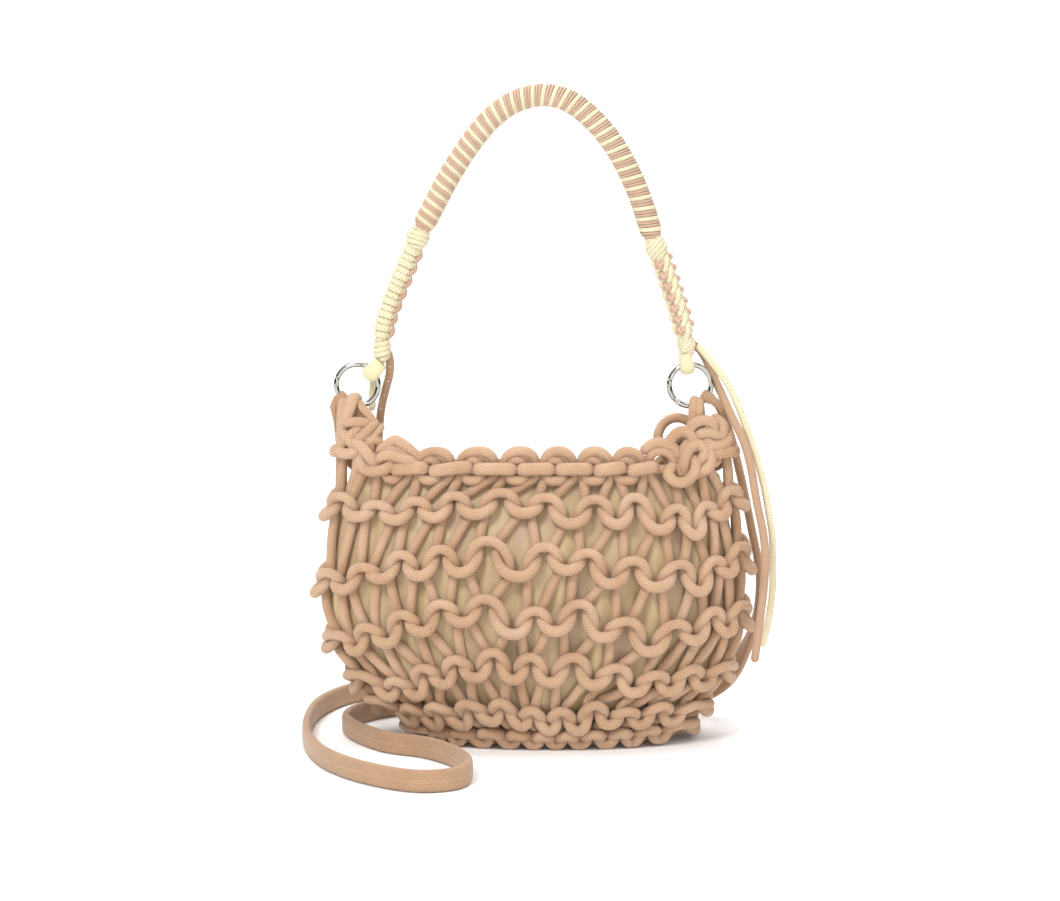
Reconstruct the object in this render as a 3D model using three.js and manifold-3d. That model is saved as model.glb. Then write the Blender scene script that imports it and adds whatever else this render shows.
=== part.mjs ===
// A knitted shoulder bag: an open net of thick cord around a cloth pouch, with a wound
// handle, two spring gate rings, a long flat strap and hanging cord tails.
// Millimetres. +X is the bag's right side as seen from the front, +Y is its back, +Z is up.
// The origin is on the floor, below the middle of the bag's widest section.
import * as THREE from 'three';
import { mergeVertices } from 'three/addons/utils/BufferGeometryUtils.js';
import Module from 'manifold-3d';

const wasm = await Module();
wasm.setup();

// Driving dimensions of the net
const bodyWidth = 315;
const bodyDepth = 124;
const netHeight = 190;
const netWall = 12;
const cordDiameter = 7.4;
const stitchCount = 22;
const legRelief = 0.57 * cordDiameter;
const baseEdge = 9;
const baseThickness = 8;

// Rim chain and the raised corners of the mouth
const rimHeight = 20.5;
const rimWall = 13;
const rimDip = 1.5;
const cornerRise = 10;
const cornerFrom = 0.7;
const cornerTo = 0.86;

// Inner pouch
const pouchDrop = 9;
const pouchTop = netHeight - pouchDrop;
const pouchWall = 1.6;
const pouchFoldDepth = 1.4;
const pouchFoldCount = 22;
const pouchClearance = 1.2;
const pouchEndTuck = 6;

// Spring gate rings, set in from the two ends of the body and above the net
const ringInner = 25.4;
const ringWire = 3.8;
const ringRise = 61;
const ringLeftInset = 35;
const ringRightInset = 47.7;
const ringHeight = netHeight + ringRise;
const ringLeftX = -0.5 * bodyWidth + ringLeftInset;
const ringRightX = 0.5 * bodyWidth - ringRightInset;
const hingePin = 1.4;
const hingeTongue = 1.2;

// Cord sizes
const gripDiameter = 16.5;
const collarDiameter = 16.8;
const braidDiameter = 14;
const knotDiameter = 13;
const loopWidth = 10;
const loopThickness = 5;
const tabLoopWidth = 7.5;
const strapLoopWidth = 5;
const strapLoopThickness = 2.5;
const strapLoopLength = 3.5;
const strapWidth = 15;
const strapThickness = 6;
const strapFold = 0.66;
const strapLeftAngle = 218;
const strapRightAngle = 326;
const creamTailDiameter = 5.1;
const pinkTailDiameter = 5.9;

// Clearances
const gap = 0.3;
const hingeGap = 0.25;

// Shape of the body, bottom to top. height is a share of netHeight, width and shift are
// shares of half of bodyWidth, and depth is a share of half of bodyDepth.
const bodySections = [
  { height: 0.0, width: 0.571, depth: 0.6, shift: 0.083 },
  { height: 0.042, width: 0.664, depth: 0.74, shift: 0.089 },
  { height: 0.1, width: 0.746, depth: 0.86, shift: 0.057 },
  { height: 0.158, width: 0.819, depth: 0.93, shift: 0.038 },
  { height: 0.258, width: 0.908, depth: 0.985, shift: 0.019 },
  { height: 0.363, width: 0.971, depth: 1.0, shift: 0.013 },
  { height: 0.516, width: 1.0, depth: 0.99, shift: 0.003 },
  { height: 0.742, width: 0.981, depth: 0.85, shift: 0.01 },
  { height: 0.968, width: 0.937, depth: 0.53, shift: 0.01 },
  { height: 1.16, width: 0.895, depth: 0.36, shift: 0.005 },
];

// Rows of stitches, bottom to top. height and the droops at the two ends are shares of
// netHeight, drift is a share of a stitch, and swing is a share of the row spacing.
const stitchRows = [
  { height: 0.145, droopLeft: 0.02, droopRight: 0.01, drift: -0.1, swing: 0.18 },
  { height: 0.331, droopLeft: 0.11, droopRight: 0.075, drift: -0.08, swing: 0.25 },
  { height: 0.521, droopLeft: 0.14, droopRight: 0.08, drift: 0.03, swing: 0.25 },
  { height: 0.711, droopLeft: 0.11, droopRight: 0.06, drift: 0.1, swing: 0.25 },
  { height: 0.885, droopLeft: 0.035, droopRight: 0.02, drift: 0.28, swing: 0.25 },
  { height: 1.0, droopLeft: 0, droopRight: 0, drift: 0.28, swing: 0 },
];

// Outline of the gap inside one stitch: across is a share of the stitch's width, and up is
// a share of the way from the row below to the row above.
const gapOutline = [
  { across: 0, up: 0.38 },
  { across: 0.27, up: 0.53 },
  { across: 0.29, up: 0.84 },
  { across: 0, up: 1.03 },
  { across: -0.29, up: 0.84 },
  { across: -0.27, up: 0.53 },
];
const topGapOutline = [
  { across: 0, up: 0.5 },
  { across: 0.24, up: 0.54 },
  { across: 0.26, up: 0.8 },
  { across: 0, up: 0.84 },
  { across: -0.26, up: 0.8 },
  { across: -0.24, up: 0.54 },
];

// How far up a row the surface between two gaps is lowered
const middleUp = 0.25;
const topMiddleUp = 0.45;

const palette = {
  cord: new THREE.MeshStandardMaterial({ color: 0xdcb28e, roughness: 0.95, metalness: 0 }),
  cream: new THREE.MeshStandardMaterial({ color: 0xf1e6b8, roughness: 0.9, metalness: 0 }),
  braid: new THREE.MeshStandardMaterial({ color: 0xe8cfa4, roughness: 0.92, metalness: 0 }),
  pouch: new THREE.MeshStandardMaterial({ color: 0xd0b78c, roughness: 0.6, metalness: 0 }),
  strap: new THREE.MeshStandardMaterial({ color: 0xc79c78, roughness: 0.95, metalness: 0 }),
  metal: new THREE.MeshStandardMaterial({ color: 0xd8d6d0, roughness: 0.15, metalness: 1 }),
};

const bag = new THREE.Group();

function addMesh(name, geometry, material) {
  const mesh = new THREE.Mesh(geometry, material);
  mesh.name = name;
  bag.add(mesh);
}

function geometryOf(points, faces) {
  const geometry = new THREE.BufferGeometry();
  geometry.setAttribute('position', new THREE.Float32BufferAttribute(points.flat(), 3));
  geometry.setIndex(faces.flat());
  geometry.computeVertexNormals();
  return geometry;
}

function toSolid(geometry) {
  const bare = geometry.clone();
  bare.deleteAttribute('normal');
  bare.deleteAttribute('uv');
  const merged = mergeVertices(bare, 1e-4);
  return new wasm.Manifold(new wasm.Mesh({
    numProp: 3,
    vertProperties: merged.attributes.position.array,
    triVerts: Uint32Array.from(merged.index.array),
  }));
}

function fromSolid(solid) {
  const mesh = solid.getMesh();
  const geometry = new THREE.BufferGeometry();
  geometry.setAttribute('position', new THREE.Float32BufferAttribute(mesh.vertProperties, 3));
  geometry.setIndex(Array.from(mesh.triVerts));
  geometry.computeVertexNormals();
  return geometry;
}

// Smooth reading of a table of sections at any height share
function readSection(share) {
  const rows = bodySections;
  const last = rows.length - 1;
  let low = 0;
  while (low < last - 1 && share > rows[low + 1].height) low += 1;
  const before = rows[Math.max(low - 1, 0)];
  const from = rows[low];
  const to = rows[low + 1];
  const after = rows[Math.min(low + 2, last)];
  const span = to.height - from.height;
  const along = (share - from.height) / span;
  const blend = (column) => {
    const slopeIn = (to[column] - before[column]) / Math.max(to.height - before.height, 1e-6);
    const slopeOut = (after[column] - from[column]) / Math.max(after.height - from.height, 1e-6);
    const a = along * along;
    const b = a * along;
    return (2 * b - 3 * a + 1) * from[column] + (b - 2 * a + along) * span * slopeIn
      + (3 * a - 2 * b) * to[column] + (b - a) * span * slopeOut;
  };
  return { width: blend('width'), depth: blend('depth'), shift: blend('shift') };
}

// Angle around the body for a share of the way round, evenly spaced along the widest section
const turnTable = (() => {
  const steps = 720;
  const lengths = [0];
  const at = (i) => {
    const angle = (i / steps) * 2 * Math.PI;
    return [0.5 * bodyWidth * Math.sin(angle), 0.5 * bodyDepth * Math.cos(angle)];
  };
  for (let i = 1; i <= steps; i += 1) {
    const [x0, y0] = at(i - 1);
    const [x1, y1] = at(i);
    lengths.push(lengths[i - 1] + Math.hypot(x1 - x0, y1 - y0));
  }
  return lengths;
})();

function turnAngle(share) {
  const whole = Math.floor(share);
  const steps = turnTable.length - 1;
  const wanted = (share - whole) * turnTable[steps];
  let i = 1;
  while (i < steps && turnTable[i] < wanted) i += 1;
  const part = (wanted - turnTable[i - 1]) / (turnTable[i] - turnTable[i - 1]);
  return (whole + (i - 1 + part) / steps) * 2 * Math.PI;
}

// A point of the body's surface, moved inwards by inset, and by endInset at the two ends
function bodyPoint(angle, z, inset, endInset = inset) {
  const section = readSection(z / netHeight);
  const halfWidth = 0.5 * bodyWidth * section.width - endInset;
  const halfDepth = 0.5 * bodyDepth * section.depth - inset;
  const shift = 0.5 * bodyWidth * section.shift;
  return [shift + halfWidth * Math.sin(angle), -halfDepth * Math.cos(angle), z];
}

function smoothStep(low, high, value) {
  const t = Math.min(Math.max((value - low) / (high - low), 0), 1);
  return t * t * (3 - 2 * t);
}

function cornerLift(angle) {
  return cornerRise * smoothStep(cornerFrom, cornerTo, Math.abs(Math.sin(angle)));
}

// Height of the middle of a row of stitches at an angle round the body
function rowHeight(row, angle) {
  const side = Math.sin(angle);
  const droop = side < 0 ? row.droopLeft : row.droopRight;
  const lift = row === stitchRows[stitchRows.length - 1] ? cornerLift(angle) : 0;
  return netHeight * (row.height - droop * Math.abs(side) ** 3) + lift;
}

function rowSwing(index, angle) {
  const row = stitchRows[index];
  const here = rowHeight(row, angle);
  const above = index + 1 < stitchRows.length ? rowHeight(stitchRows[index + 1], angle) - here : Infinity;
  const below = index > 0 ? here - rowHeight(stitchRows[index - 1], angle) : Infinity;
  return row.swing * Math.min(above, below);
}

// The net: raised waves of cord along each row, and one gap through the wall per stitch
function netBody() {
  const halfStitches = 2 * stitchCount;
  const points = [];
  const faces = [];
  const place = (angle, z, inset) => points.push(bodyPoint(angle, z, inset)) - 1;

  const rowPoints = (skinInset) => stitchRows.map((row, index) => {
    const ring = [];
    for (let k = 0; k < halfStitches; k += 1) {
      const angle = turnAngle((0.5 * k + row.drift) / stitchCount);
      const swing = (k % 2 === 0 ? 1 : -1) * rowSwing(index, angle);
      ring.push(place(angle, rowHeight(row, angle) + swing, skinInset));
    }
    return ring;
  });
  const outer = rowPoints(0);
  const inner = rowPoints(netWall);

  const cellPoint = (index, across, up, inset) => {
    const low = stitchRows[index];
    const high = stitchRows[index + 1];
    const drift = low.drift + (high.drift - low.drift) * Math.min(Math.max(up, 0), 1);
    const angle = turnAngle((across + drift) / stitchCount);
    const from = rowHeight(low, angle);
    const to = rowHeight(high, angle);
    return place(angle, from + (to - from) * up, inset);
  };

  const skin = (rings, index, column, leftMid, rightMid, hole) => {
    const at = (ring, k) => rings[ring][(k + halfStitches) % halfStitches];
    const middle = 2 * column;
    const [bottomLeft, bottom, bottomRight] = [-1, 0, 1].map((k) => at(index, middle + k));
    const [topLeft, top, topRight] = [-1, 0, 1].map((k) => at(index + 1, middle + k));
    const [b, br, tr, t, tl, bl] = hole;
    return [
      [bottom, bottomRight, br], [bottom, br, b], [bottomRight, rightMid, br],
      [rightMid, tr, br], [rightMid, topRight, tr], [topRight, top, t], [topRight, t, tr],
      [top, topLeft, tl], [top, tl, t], [topLeft, leftMid, tl], [leftMid, bl, tl],
      [leftMid, bottomLeft, bl], [bottomLeft, bottom, b], [bottomLeft, b, bl],
    ];
  };
  const reversed = (list) => list.map(([p, q, r]) => [p, r, q]);

  for (let index = 0; index + 1 < stitchRows.length; index += 1) {
    const outline = index + 2 === stitchRows.length ? topGapOutline : gapOutline;
    const midUp = index + 2 === stitchRows.length ? topMiddleUp : middleUp;
    const mids = [legRelief, netWall].map((inset) => {
      const ring = [];
      for (let column = 0; column < stitchCount; column += 1) {
        ring.push(cellPoint(index, column + 0.5, midUp, inset));
      }
      return ring;
    });
    for (let column = 0; column < stitchCount; column += 1) {
      const before = (column + stitchCount - 1) % stitchCount;
      const edge = [legRelief, netWall].map((inset) => outline.map(
        ({ across, up }) => cellPoint(index, column + across, up, inset),
      ));
      faces.push(...skin(outer, index, column, mids[0][before], mids[0][column], edge[0]));
      faces.push(...reversed(skin(inner, index, column, mids[1][before], mids[1][column], edge[1])));
      for (let k = 0; k < outline.length; k += 1) {
        const next = (k + 1) % outline.length;
        faces.push([edge[0][k], edge[0][next], edge[1][next]]);
        faces.push([edge[0][k], edge[1][next], edge[1][k]]);
      }
    }
  }

  // Closed top edge under the rim, then the dense base with its flat underside
  const ringOf = (z, inset) => {
    const ring = [];
    for (let k = 0; k < halfStitches; k += 1) {
      ring.push(place(turnAngle((0.5 * k + stitchRows[0].drift) / stitchCount), z, inset));
    }
    return ring;
  };
  const edgeRing = ringOf(baseEdge, 0);
  const soleRing = ringOf(0, 0);
  const floorRing = ringOf(baseThickness, netWall);
  const [shift] = bodyPoint(0, 0, 0);
  const sole = points.push([shift, 0, 0]) - 1;
  const floor = points.push([shift, 0, baseThickness]) - 1;
  const lastRow = stitchRows.length - 1;
  for (let k = 0; k < halfStitches; k += 1) {
    const n = (k + 1) % halfStitches;
    faces.push([outer[lastRow][k], outer[lastRow][n], inner[lastRow][k]]);
    faces.push([outer[lastRow][n], inner[lastRow][n], inner[lastRow][k]]);
    faces.push([edgeRing[k], edgeRing[n], outer[0][n]], [edgeRing[k], outer[0][n], outer[0][k]]);
    faces.push([soleRing[k], soleRing[n], edgeRing[n]], [soleRing[k], edgeRing[n], edgeRing[k]]);
    faces.push([soleRing[n], soleRing[k], sole]);
    faces.push([floorRing[n], floorRing[k], inner[0][k]], [floorRing[n], inner[0][k], inner[0][n]]);
    faces.push([floorRing[k], floorRing[n], floor]);
  }
  return geometryOf(points, faces);
}

// The bound-off chain round the mouth: a thick lumpy ring on top of the net
function rimChain() {
  const steps = 2 * stitchCount;
  const profile = [
    { inset: 0, up: 0.55, lump: 1.2 },
    { inset: 0.18, up: 0.88, lump: 0.5 },
    { inset: 0.5, up: 1, lump: 0 },
    { inset: 0.85, up: 0.86, lump: 0 },
    { inset: 1, up: 0.5, lump: 0 },
    { inset: 0.92, up: 0, lump: 0 },
    { inset: 0, up: 0, lump: 0 },
  ];
  const points = [];
  const faces = [];
  for (let k = 0; k < steps; k += 1) {
    const angle = turnAngle((0.5 * k + stitchRows[stitchRows.length - 1].drift) / stitchCount);
    const foot = netHeight + cornerLift(angle) + gap;
    const lumpy = k % 2 === 0 ? 1 : 0;
    profile.forEach(({ inset, up, lump }) => {
      const z = foot + rimHeight * up - (up > 0.8 ? rimDip * (1 - lumpy) : 0);
      points.push(bodyPoint(angle, z, rimWall * inset + lump * (1 - lumpy)));
    });
  }
  const sides = profile.length;
  for (let k = 0; k < steps; k += 1) {
    const n = (k + 1) % steps;
    for (let j = 0; j < sides; j += 1) {
      const m = (j + 1) % sides;
      const [p, q, r, s] = [k * sides + j, n * sides + j, n * sides + m, k * sides + m];
      faces.push([p, q, r], [p, r, s]);
    }
  }
  return geometryOf(points, faces);
}

// The cloth pouch inside the net, open at the top, with soft upright folds
function innerPouch() {
  const steps = 2 * stitchCount;
  const bottom = baseThickness + gap;
  const levels = [
    { share: 0, tuck: 5.5 },
    { share: 0.1, tuck: 2.2 },
    { share: 0.3, tuck: 0.6 },
    { share: 0.55, tuck: 0 },
    { share: 1, tuck: 0 },
  ];
  const points = [];
  const faces = [];
  const skin = (inset, floorZ) => {
    const rings = levels.map(({ share, tuck }) => {
      const ring = [];
      const z = floorZ + (pouchTop - floorZ) * share;
      const foldShare = Math.sin(Math.PI * Math.min(share + 0.1, 0.9));
      for (let k = 0; k < steps; k += 1) {
        const turn = (0.5 * k + stitchRows[0].drift) / stitchCount;
        const fold = 0.5 - 0.5 * Math.cos(2 * Math.PI * turn * pouchFoldCount);
        const depth = inset + tuck + pouchFoldDepth * foldShare * fold;
        ring.push(points.push(bodyPoint(turnAngle(turn), z, depth, depth + pouchEndTuck)) - 1);
      }
      return ring;
    });
    const [shift] = bodyPoint(0, floorZ, 0);
    return { rings, centre: points.push([shift, 0, floorZ]) - 1 };
  };
  const clear = netWall + pouchClearance;
  const outside = skin(clear, bottom);
  const inside = skin(clear + pouchWall, bottom + pouchWall);
  const top = levels.length - 1;
  for (let k = 0; k < steps; k += 1) {
    const n = (k + 1) % steps;
    for (let j = 0; j < top; j += 1) {
      const [low, high] = [outside.rings[j], outside.rings[j + 1]];
      faces.push([low[k], low[n], high[n]], [low[k], high[n], high[k]]);
      const [innerLow, innerHigh] = [inside.rings[j], inside.rings[j + 1]];
      faces.push([innerLow[n], innerLow[k], innerHigh[k]], [innerLow[n], innerHigh[k], innerHigh[n]]);
    }
    const [edge, innerEdge] = [outside.rings[top], inside.rings[top]];
    faces.push([edge[k], edge[n], innerEdge[n]], [edge[k], innerEdge[n], innerEdge[k]]);
    faces.push([outside.rings[0][n], outside.rings[0][k], outside.centre]);
    faces.push([inside.rings[0][k], inside.rings[0][n], inside.centre]);
  }
  return geometryOf(points, faces);
}

// A solid swept along a line of points. frameAt gives the first axis of the section, and
// sectionAt gives its outline, counter-clockwise about the direction of travel.
function sweep(path, frameAt, sectionAt, tangents = null) {
  const points = [];
  const faces = [];
  const count = path.length;
  let sides = 0;
  path.forEach((point, i) => {
    const ahead = path[Math.min(i + 1, count - 1)];
    const behind = path[Math.max(i - 1, 0)];
    const travel = tangents ? tangents[i] : ahead.clone().sub(behind).normalize();
    const first = frameAt(i / (count - 1), travel, point);
    first.addScaledVector(travel, -first.dot(travel)).normalize();
    const second = travel.clone().cross(first);
    const section = sectionAt(i / (count - 1), i);
    sides = section.length;
    section.forEach(([u, v]) => {
      const corner = point.clone().addScaledVector(first, u).addScaledVector(second, v);
      points.push([corner.x, corner.y, corner.z]);
    });
  });
  for (let i = 0; i + 1 < count; i += 1) {
    for (let j = 0; j < sides; j += 1) {
      const m = (j + 1) % sides;
      const [p, q, r, s] = [i * sides + j, i * sides + m, (i + 1) * sides + m, (i + 1) * sides + j];
      faces.push([p, q, r], [p, r, s]);
    }
  }
  for (let j = 1; j + 1 < sides; j += 1) {
    const end = (count - 1) * sides;
    faces.push([0, j + 1, j], [end, end + j, end + j + 1]);
  }
  return geometryOf(points, faces);
}

function ellipseSection(halfWidth, halfThickness, sides) {
  const outline = [];
  for (let j = 0; j < sides; j += 1) {
    const angle = ((j + 0.5) / sides) * 2 * Math.PI;
    outline.push([halfWidth * Math.cos(angle), halfThickness * Math.sin(angle)]);
  }
  return outline;
}

function curveThrough(list) {
  const points = list.map((entry) => new THREE.Vector3(...entry));
  return new THREE.CatmullRomCurve3(points, false, 'centripetal');
}

const towardsBack = () => new THREE.Vector3(0, 1, 0);

// Handle: it lies in the plane of the rings and rises handleRise above their middles.
const loopLength = 4.4;
const ringRadius = 0.5 * (ringInner + ringWire);
const loopLeftAngle = 42;
const loopRightAngle = 100;
const handleRise = 201;

// Shape of the arch: across is a share of the way from ring to ring, up a share of its rise
const handleArch = [
  { across: 0.081, up: 0.209 },
  { across: 0.104, up: 0.294 },
  { across: 0.136, up: 0.383 },
  { across: 0.179, up: 0.499 },
  { across: 0.251, up: 0.664 },
  { across: 0.296, up: 0.756 },
  { across: 0.344, up: 0.838 },
  { across: 0.4, up: 0.916 },
  { across: 0.474, up: 0.978 },
  { across: 0.563, up: 1 },
  { across: 0.637, up: 0.978 },
  { across: 0.7, up: 0.923 },
  { across: 0.759, up: 0.845 },
  { across: 0.81, up: 0.746 },
  { across: 0.849, up: 0.643 },
  { across: 0.892, up: 0.492 },
  { across: 0.937, up: 0.346 },
  { across: 0.966, up: 0.244 },
];
// Where the handle leaves each ring, as x and z from the ring's middle
const leftRise = [[17.2, 18], [17.3, 27.5]];
const rightRise = [[-3.8, 32.5], [-2.5, 24.5]];

function outOfRing(angle) {
  const turn = THREE.MathUtils.degToRad(angle);
  return new THREE.Vector3(Math.cos(turn), 0, Math.sin(turn));
}

function onRing(ringX, angle, outwards = 0) {
  const turn = THREE.MathUtils.degToRad(angle);
  const reach = ringRadius + outwards;
  return [ringX + reach * Math.cos(turn), 0, ringHeight + reach * Math.sin(turn)];
}

// One line for the whole handle, from the left ring's loop to the right ring's loop
const nearRing = (ringX) => ([x, z]) => [ringX + x, 0, ringHeight + z];
const handleLine = [
  onRing(ringLeftX, loopLeftAngle, loopLength + gap),
  onRing(ringLeftX, loopLeftAngle, loopLength + 9 * gap),
  ...leftRise.map(nearRing(ringLeftX)),
  ...handleArch.map(({ across, up }) => [
    ringLeftX + (ringRightX - ringLeftX) * across, 0, ringHeight + handleRise * up,
  ]),
  ...rightRise.map(nearRing(ringRightX)),
  onRing(ringRightX, loopRightAngle, loopLength + 6 * gap),
  onRing(ringRightX, loopRightAngle, loopLength + gap),
];
const handleCurve = new THREE.CatmullRomCurve3(
  handleLine.map((entry) => new THREE.Vector3(...entry)), false, 'centripetal',
);
handleCurve.arcLengthDivisions = 1200;

// Where each piece of the handle ends along that line, measured from its own ring
const handleHalves = [
  { side: 'left', knotEnd: 22, braidEnd: 88.5, collarEnd: 102.5 },
  { side: 'right', knotEnd: 16.5, braidEnd: 73, collarEnd: 87.5 },
];

function handlePiece(from, to, steps, sides, diameterAt) {
  const whole = handleCurve.getLength();
  const points = [];
  const tangents = [];
  for (let i = 0; i <= steps; i += 1) {
    const share = (from + ((to - from) * i) / steps) / whole;
    points.push(handleCurve.getPointAt(share));
    tangents.push(handleCurve.getTangentAt(share));
  }
  if (from === 0) tangents[0].copy(outOfRing(loopLeftAngle));
  if (to === whole) tangents[steps].copy(outOfRing(loopRightAngle)).negate();
  const section = (along, i) => {
    const radius = 0.5 * diameterAt(along, i) / Math.cos(Math.PI / sides);
    return ellipseSection(radius, radius, sides);
  };
  return sweep(points, towardsBack, section, tangents);
}

function roundedEnds(diameter) {
  return (along) => diameter * (along === 0 || along === 1 ? 0.82 : 1);
}

// A flat loop of cord that passes round the ring's wire and points away from its centre
function ringLoop(ringX, angle, width, thickness, legLength) {
  const turn = THREE.MathUtils.degToRad(angle);
  const outwards = outOfRing(angle);
  const along = new THREE.Vector3(-Math.sin(turn), 0, Math.cos(turn));
  const wire = new THREE.Vector3(...onRing(ringX, angle));
  const bend = 0.5 * ringWire + gap + 0.5 * thickness;
  const place = (out, back) => wire.clone().addScaledVector(outwards, out)
    .add(new THREE.Vector3(0, back, 0));
  const path = [place(legLength, -bend)];
  for (let i = 0; i <= 6; i += 1) {
    const around = (i / 6) * Math.PI;
    path.push(place(-bend * Math.sin(around), -bend * Math.cos(around)));
  }
  path.push(place(legLength, bend));
  return sweep(path, () => along.clone(), () => ellipseSection(0.5 * width, 0.5 * thickness, 8));
}

// Ring wire over an arc, with square ends
function wireArc(ringX, from, to, steps) {
  const path = [];
  for (let i = 0; i <= steps; i += 1) {
    path.push(new THREE.Vector3(...onRing(ringX, from + ((to - from) * i) / steps)));
  }
  const radius = 0.5 * ringWire;
  return sweep(path, towardsBack, () => ellipseSection(radius, radius, 8));
}

function discAt(ringX, angle, radius, thickness) {
  const disc = new THREE.CylinderGeometry(radius, radius, thickness, 12);
  disc.translate(...onRing(ringX, angle));
  return toSolid(disc);
}

// A flat slab that cuts the wire across the way in which the gate's free end travels
function slabAt(ringX, angle, tilt, thickness) {
  const slab = new THREE.BoxGeometry(thickness, 3 * ringWire, 3 * ringWire);
  slab.rotateY(THREE.MathUtils.degToRad(-tilt));
  slab.translate(...onRing(ringX, angle));
  return toSolid(slab);
}

// One ring: fixed wire from its latch end round to its forked hinge end
function ringAndGate(side, ringX, hingeAngle, latchAngle) {
  const way = latchAngle > hingeAngle ? 1 : -1;
  const eyeTurn = way * THREE.MathUtils.radToDeg((0.5 * ringWire) / ringRadius);
  const middle = 0.5 * (hingeAngle + latchAngle);
  const cut = slabAt(ringX, latchAngle, middle - 90, gap);
  const eyeRadius = 0.5 * ringWire;
  const tongueRoom = discAt(ringX, hingeAngle, eyeRadius + hingeGap, hingeTongue + 2 * hingeGap);
  const pin = discAt(ringX, hingeAngle, 0.5 * hingePin, ringWire - 0.4);

  const fixedEnd = hingeAngle + (way > 0 ? 360 : -360);
  const fixedRange = way > 0 ? [latchAngle, fixedEnd] : [fixedEnd, latchAngle];
  const fixedWire = toSolid(wireArc(ringX, ...fixedRange, 24));
  const ears = discAt(ringX, hingeAngle, eyeRadius, ringWire - 0.2);
  const slotBox = new THREE.BoxGeometry(3 * eyeRadius, hingeTongue + 2 * hingeGap, 3 * eyeRadius);
  slotBox.translate(...onRing(ringX, hingeAngle + 0.8 * eyeTurn));
  const fixed = fixedWire.add(ears).subtract(tongueRoom).subtract(toSolid(slotBox))
    .add(pin).subtract(cut);

  const gateFrom = hingeAngle + 1.35 * eyeTurn;
  const gateRange = way > 0 ? [gateFrom, latchAngle] : [latchAngle, gateFrom];
  const gateWire = toSolid(wireArc(ringX, ...gateRange, 8));
  const tongueArc = discAt(ringX, hingeAngle, eyeRadius, hingeTongue);
  const tongueBox = new THREE.BoxGeometry(1.6 * eyeRadius, hingeTongue, 1.6 * eyeRadius);
  tongueBox.translate(...onRing(ringX, hingeAngle + 0.75 * eyeTurn));
  const pinHole = discAt(ringX, hingeAngle, 0.5 * hingePin + hingeGap, 2 * ringWire);
  const gate = gateWire.add(tongueArc).add(toSolid(tongueBox)).subtract(pinHole).subtract(cut);
  const keep = (solid) => solid.decompose().sort((a, b) => b.volume() - a.volume())[0];
  addMesh(`ring_${side}`, fromSolid(keep(fixed)), palette.metal);
  addMesh(`gate_${side}`, fromSolid(keep(gate)), palette.metal);
}

// A knotted tab of cord on the rim's corner. footFrom and footTo are the ends of its foot,
// from the middle of the ring that it holds.
function bodyTab({ ringX, loopAngle, footFrom, footTo }) {
  const width = tabLoopWidth;
  const foot = netHeight + cornerRise + gap + rimHeight + gap;
  const legLength = 7;
  const [topX, , topZ] = onRing(ringX, loopAngle, 0.7 * legLength);
  const thickness = 2 * (0.5 * ringWire + gap + loopThickness - gap);
  const outline = [
    [ringX + footFrom, foot], [ringX + footTo, foot],
    [topX + 0.5 * width, topZ], [topX - 0.5 * width, topZ],
  ];
  const shape = new THREE.Shape(outline.map(([x, z]) => new THREE.Vector2(x, z)));
  const block = new THREE.ExtrudeGeometry(shape, { depth: thickness, bevelEnabled: false });
  block.rotateX(Math.PI / 2);
  block.translate(0, 0.5 * thickness, 0);
  const loop = ringLoop(ringX, loopAngle, width, loopThickness, legLength);
  return fromSolid(toSolid(block).add(toSolid(loop)));
}

// Free cords: their lines are chosen by hand, in x, y and z
const creamTailRight = [
  [116.2, 2, 277.2], [119.8, 2, 273], [126.3, 2, 265], [133.3, 1, 256], [139, 0, 246.5],
  [144, -1, 235], [148.3, -3, 223.3], [152.4, -5, 212], [157.7, -8, 195], [162, -10, 178],
  [164.8, -11, 162], [167.2, -11, 148], [168, -10, 134], [168, -9, 106], [165, -8, 82],
  [162, -7, 68.6],
];
const pinkTailRight = [
  [111.9, 8.3, 279], [117.5, 9.6, 274], [123.5, 8.4, 263], [128.5, 6, 252], [133, 1, 242],
  [138, -4.5, 231], [143, -8, 221], [147.6, -12, 210], [151.8, -16, 194], [155.5, -20, 172],
  [160, -24, 150], [161.5, -26, 131], [160.5, -27, 112], [158, -27, 88], [155, -26, 62],
];
const creamTailLeft = [
  [-106.5, 9.8, 268.5], [-108.6, 10.6, 262], [-111.5, 11.2, 255], [-112.4, 11.6, 247],
  [-112.8, 11.8, 240], [-113, 12, 234],
];
const pinkTailLeft = [
  [-101, 8.6, 272], [-100, 9, 267], [-100.4, 10.6, 258], [-103, 13.4, 248], [-105.6, 16.6, 238],
  [-107.5, 20.5, 228], [-108.6, 25, 218], [-109.5, 29.5, 208], [-110, 34, 198],
];
const strapLine = [
  [-137.2, 0, 239.5], [-138.6, 1, 237.6], [-138, 5, 231.5], [-137.2, 11.5, 225.5],
  [-137, 19.5, 217.5], [-136.5, 25, 203], [-138, 34, 165], [-140, 46, 100],
  [-132, 68, 45], [-114, 82, 22], [-97, 93, 10.5], [-86, 104, 8],
  [-88, 118, 8], [-101, 125, 8], [-118, 119, 8], [-139, 98, 8],
  [-155, 60, 8], [-160, 10, 8], [-156, -45, 8], [-141, -93, 8],
  [-112, -133, 8], [-75, -156, 8], [-51, -149, 8], [-43, -125, 8],
  [-52, -92, 8], [-74, -64, 8], [-104, -46, 8], [-133, 8, 8],
  [-121, 44, 8], [-84, 71, 8], [20, 80, 8], [90, 73, 9],
  [134, 60, 24], [157, 45, 62], [163, 36, 104], [156, 38, 146],
  [146.5, 30, 188], [137.5, 14, 219], [128.2, 1, 238.4], [125.3, 0, 240.55],
];

function stationsOf(curve, steps) {
  const points = curve.getSpacedPoints(steps);
  const tangents = points.map((point, i) => curve.getTangentAt(i / steps));
  return { points, tangents };
}

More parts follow.
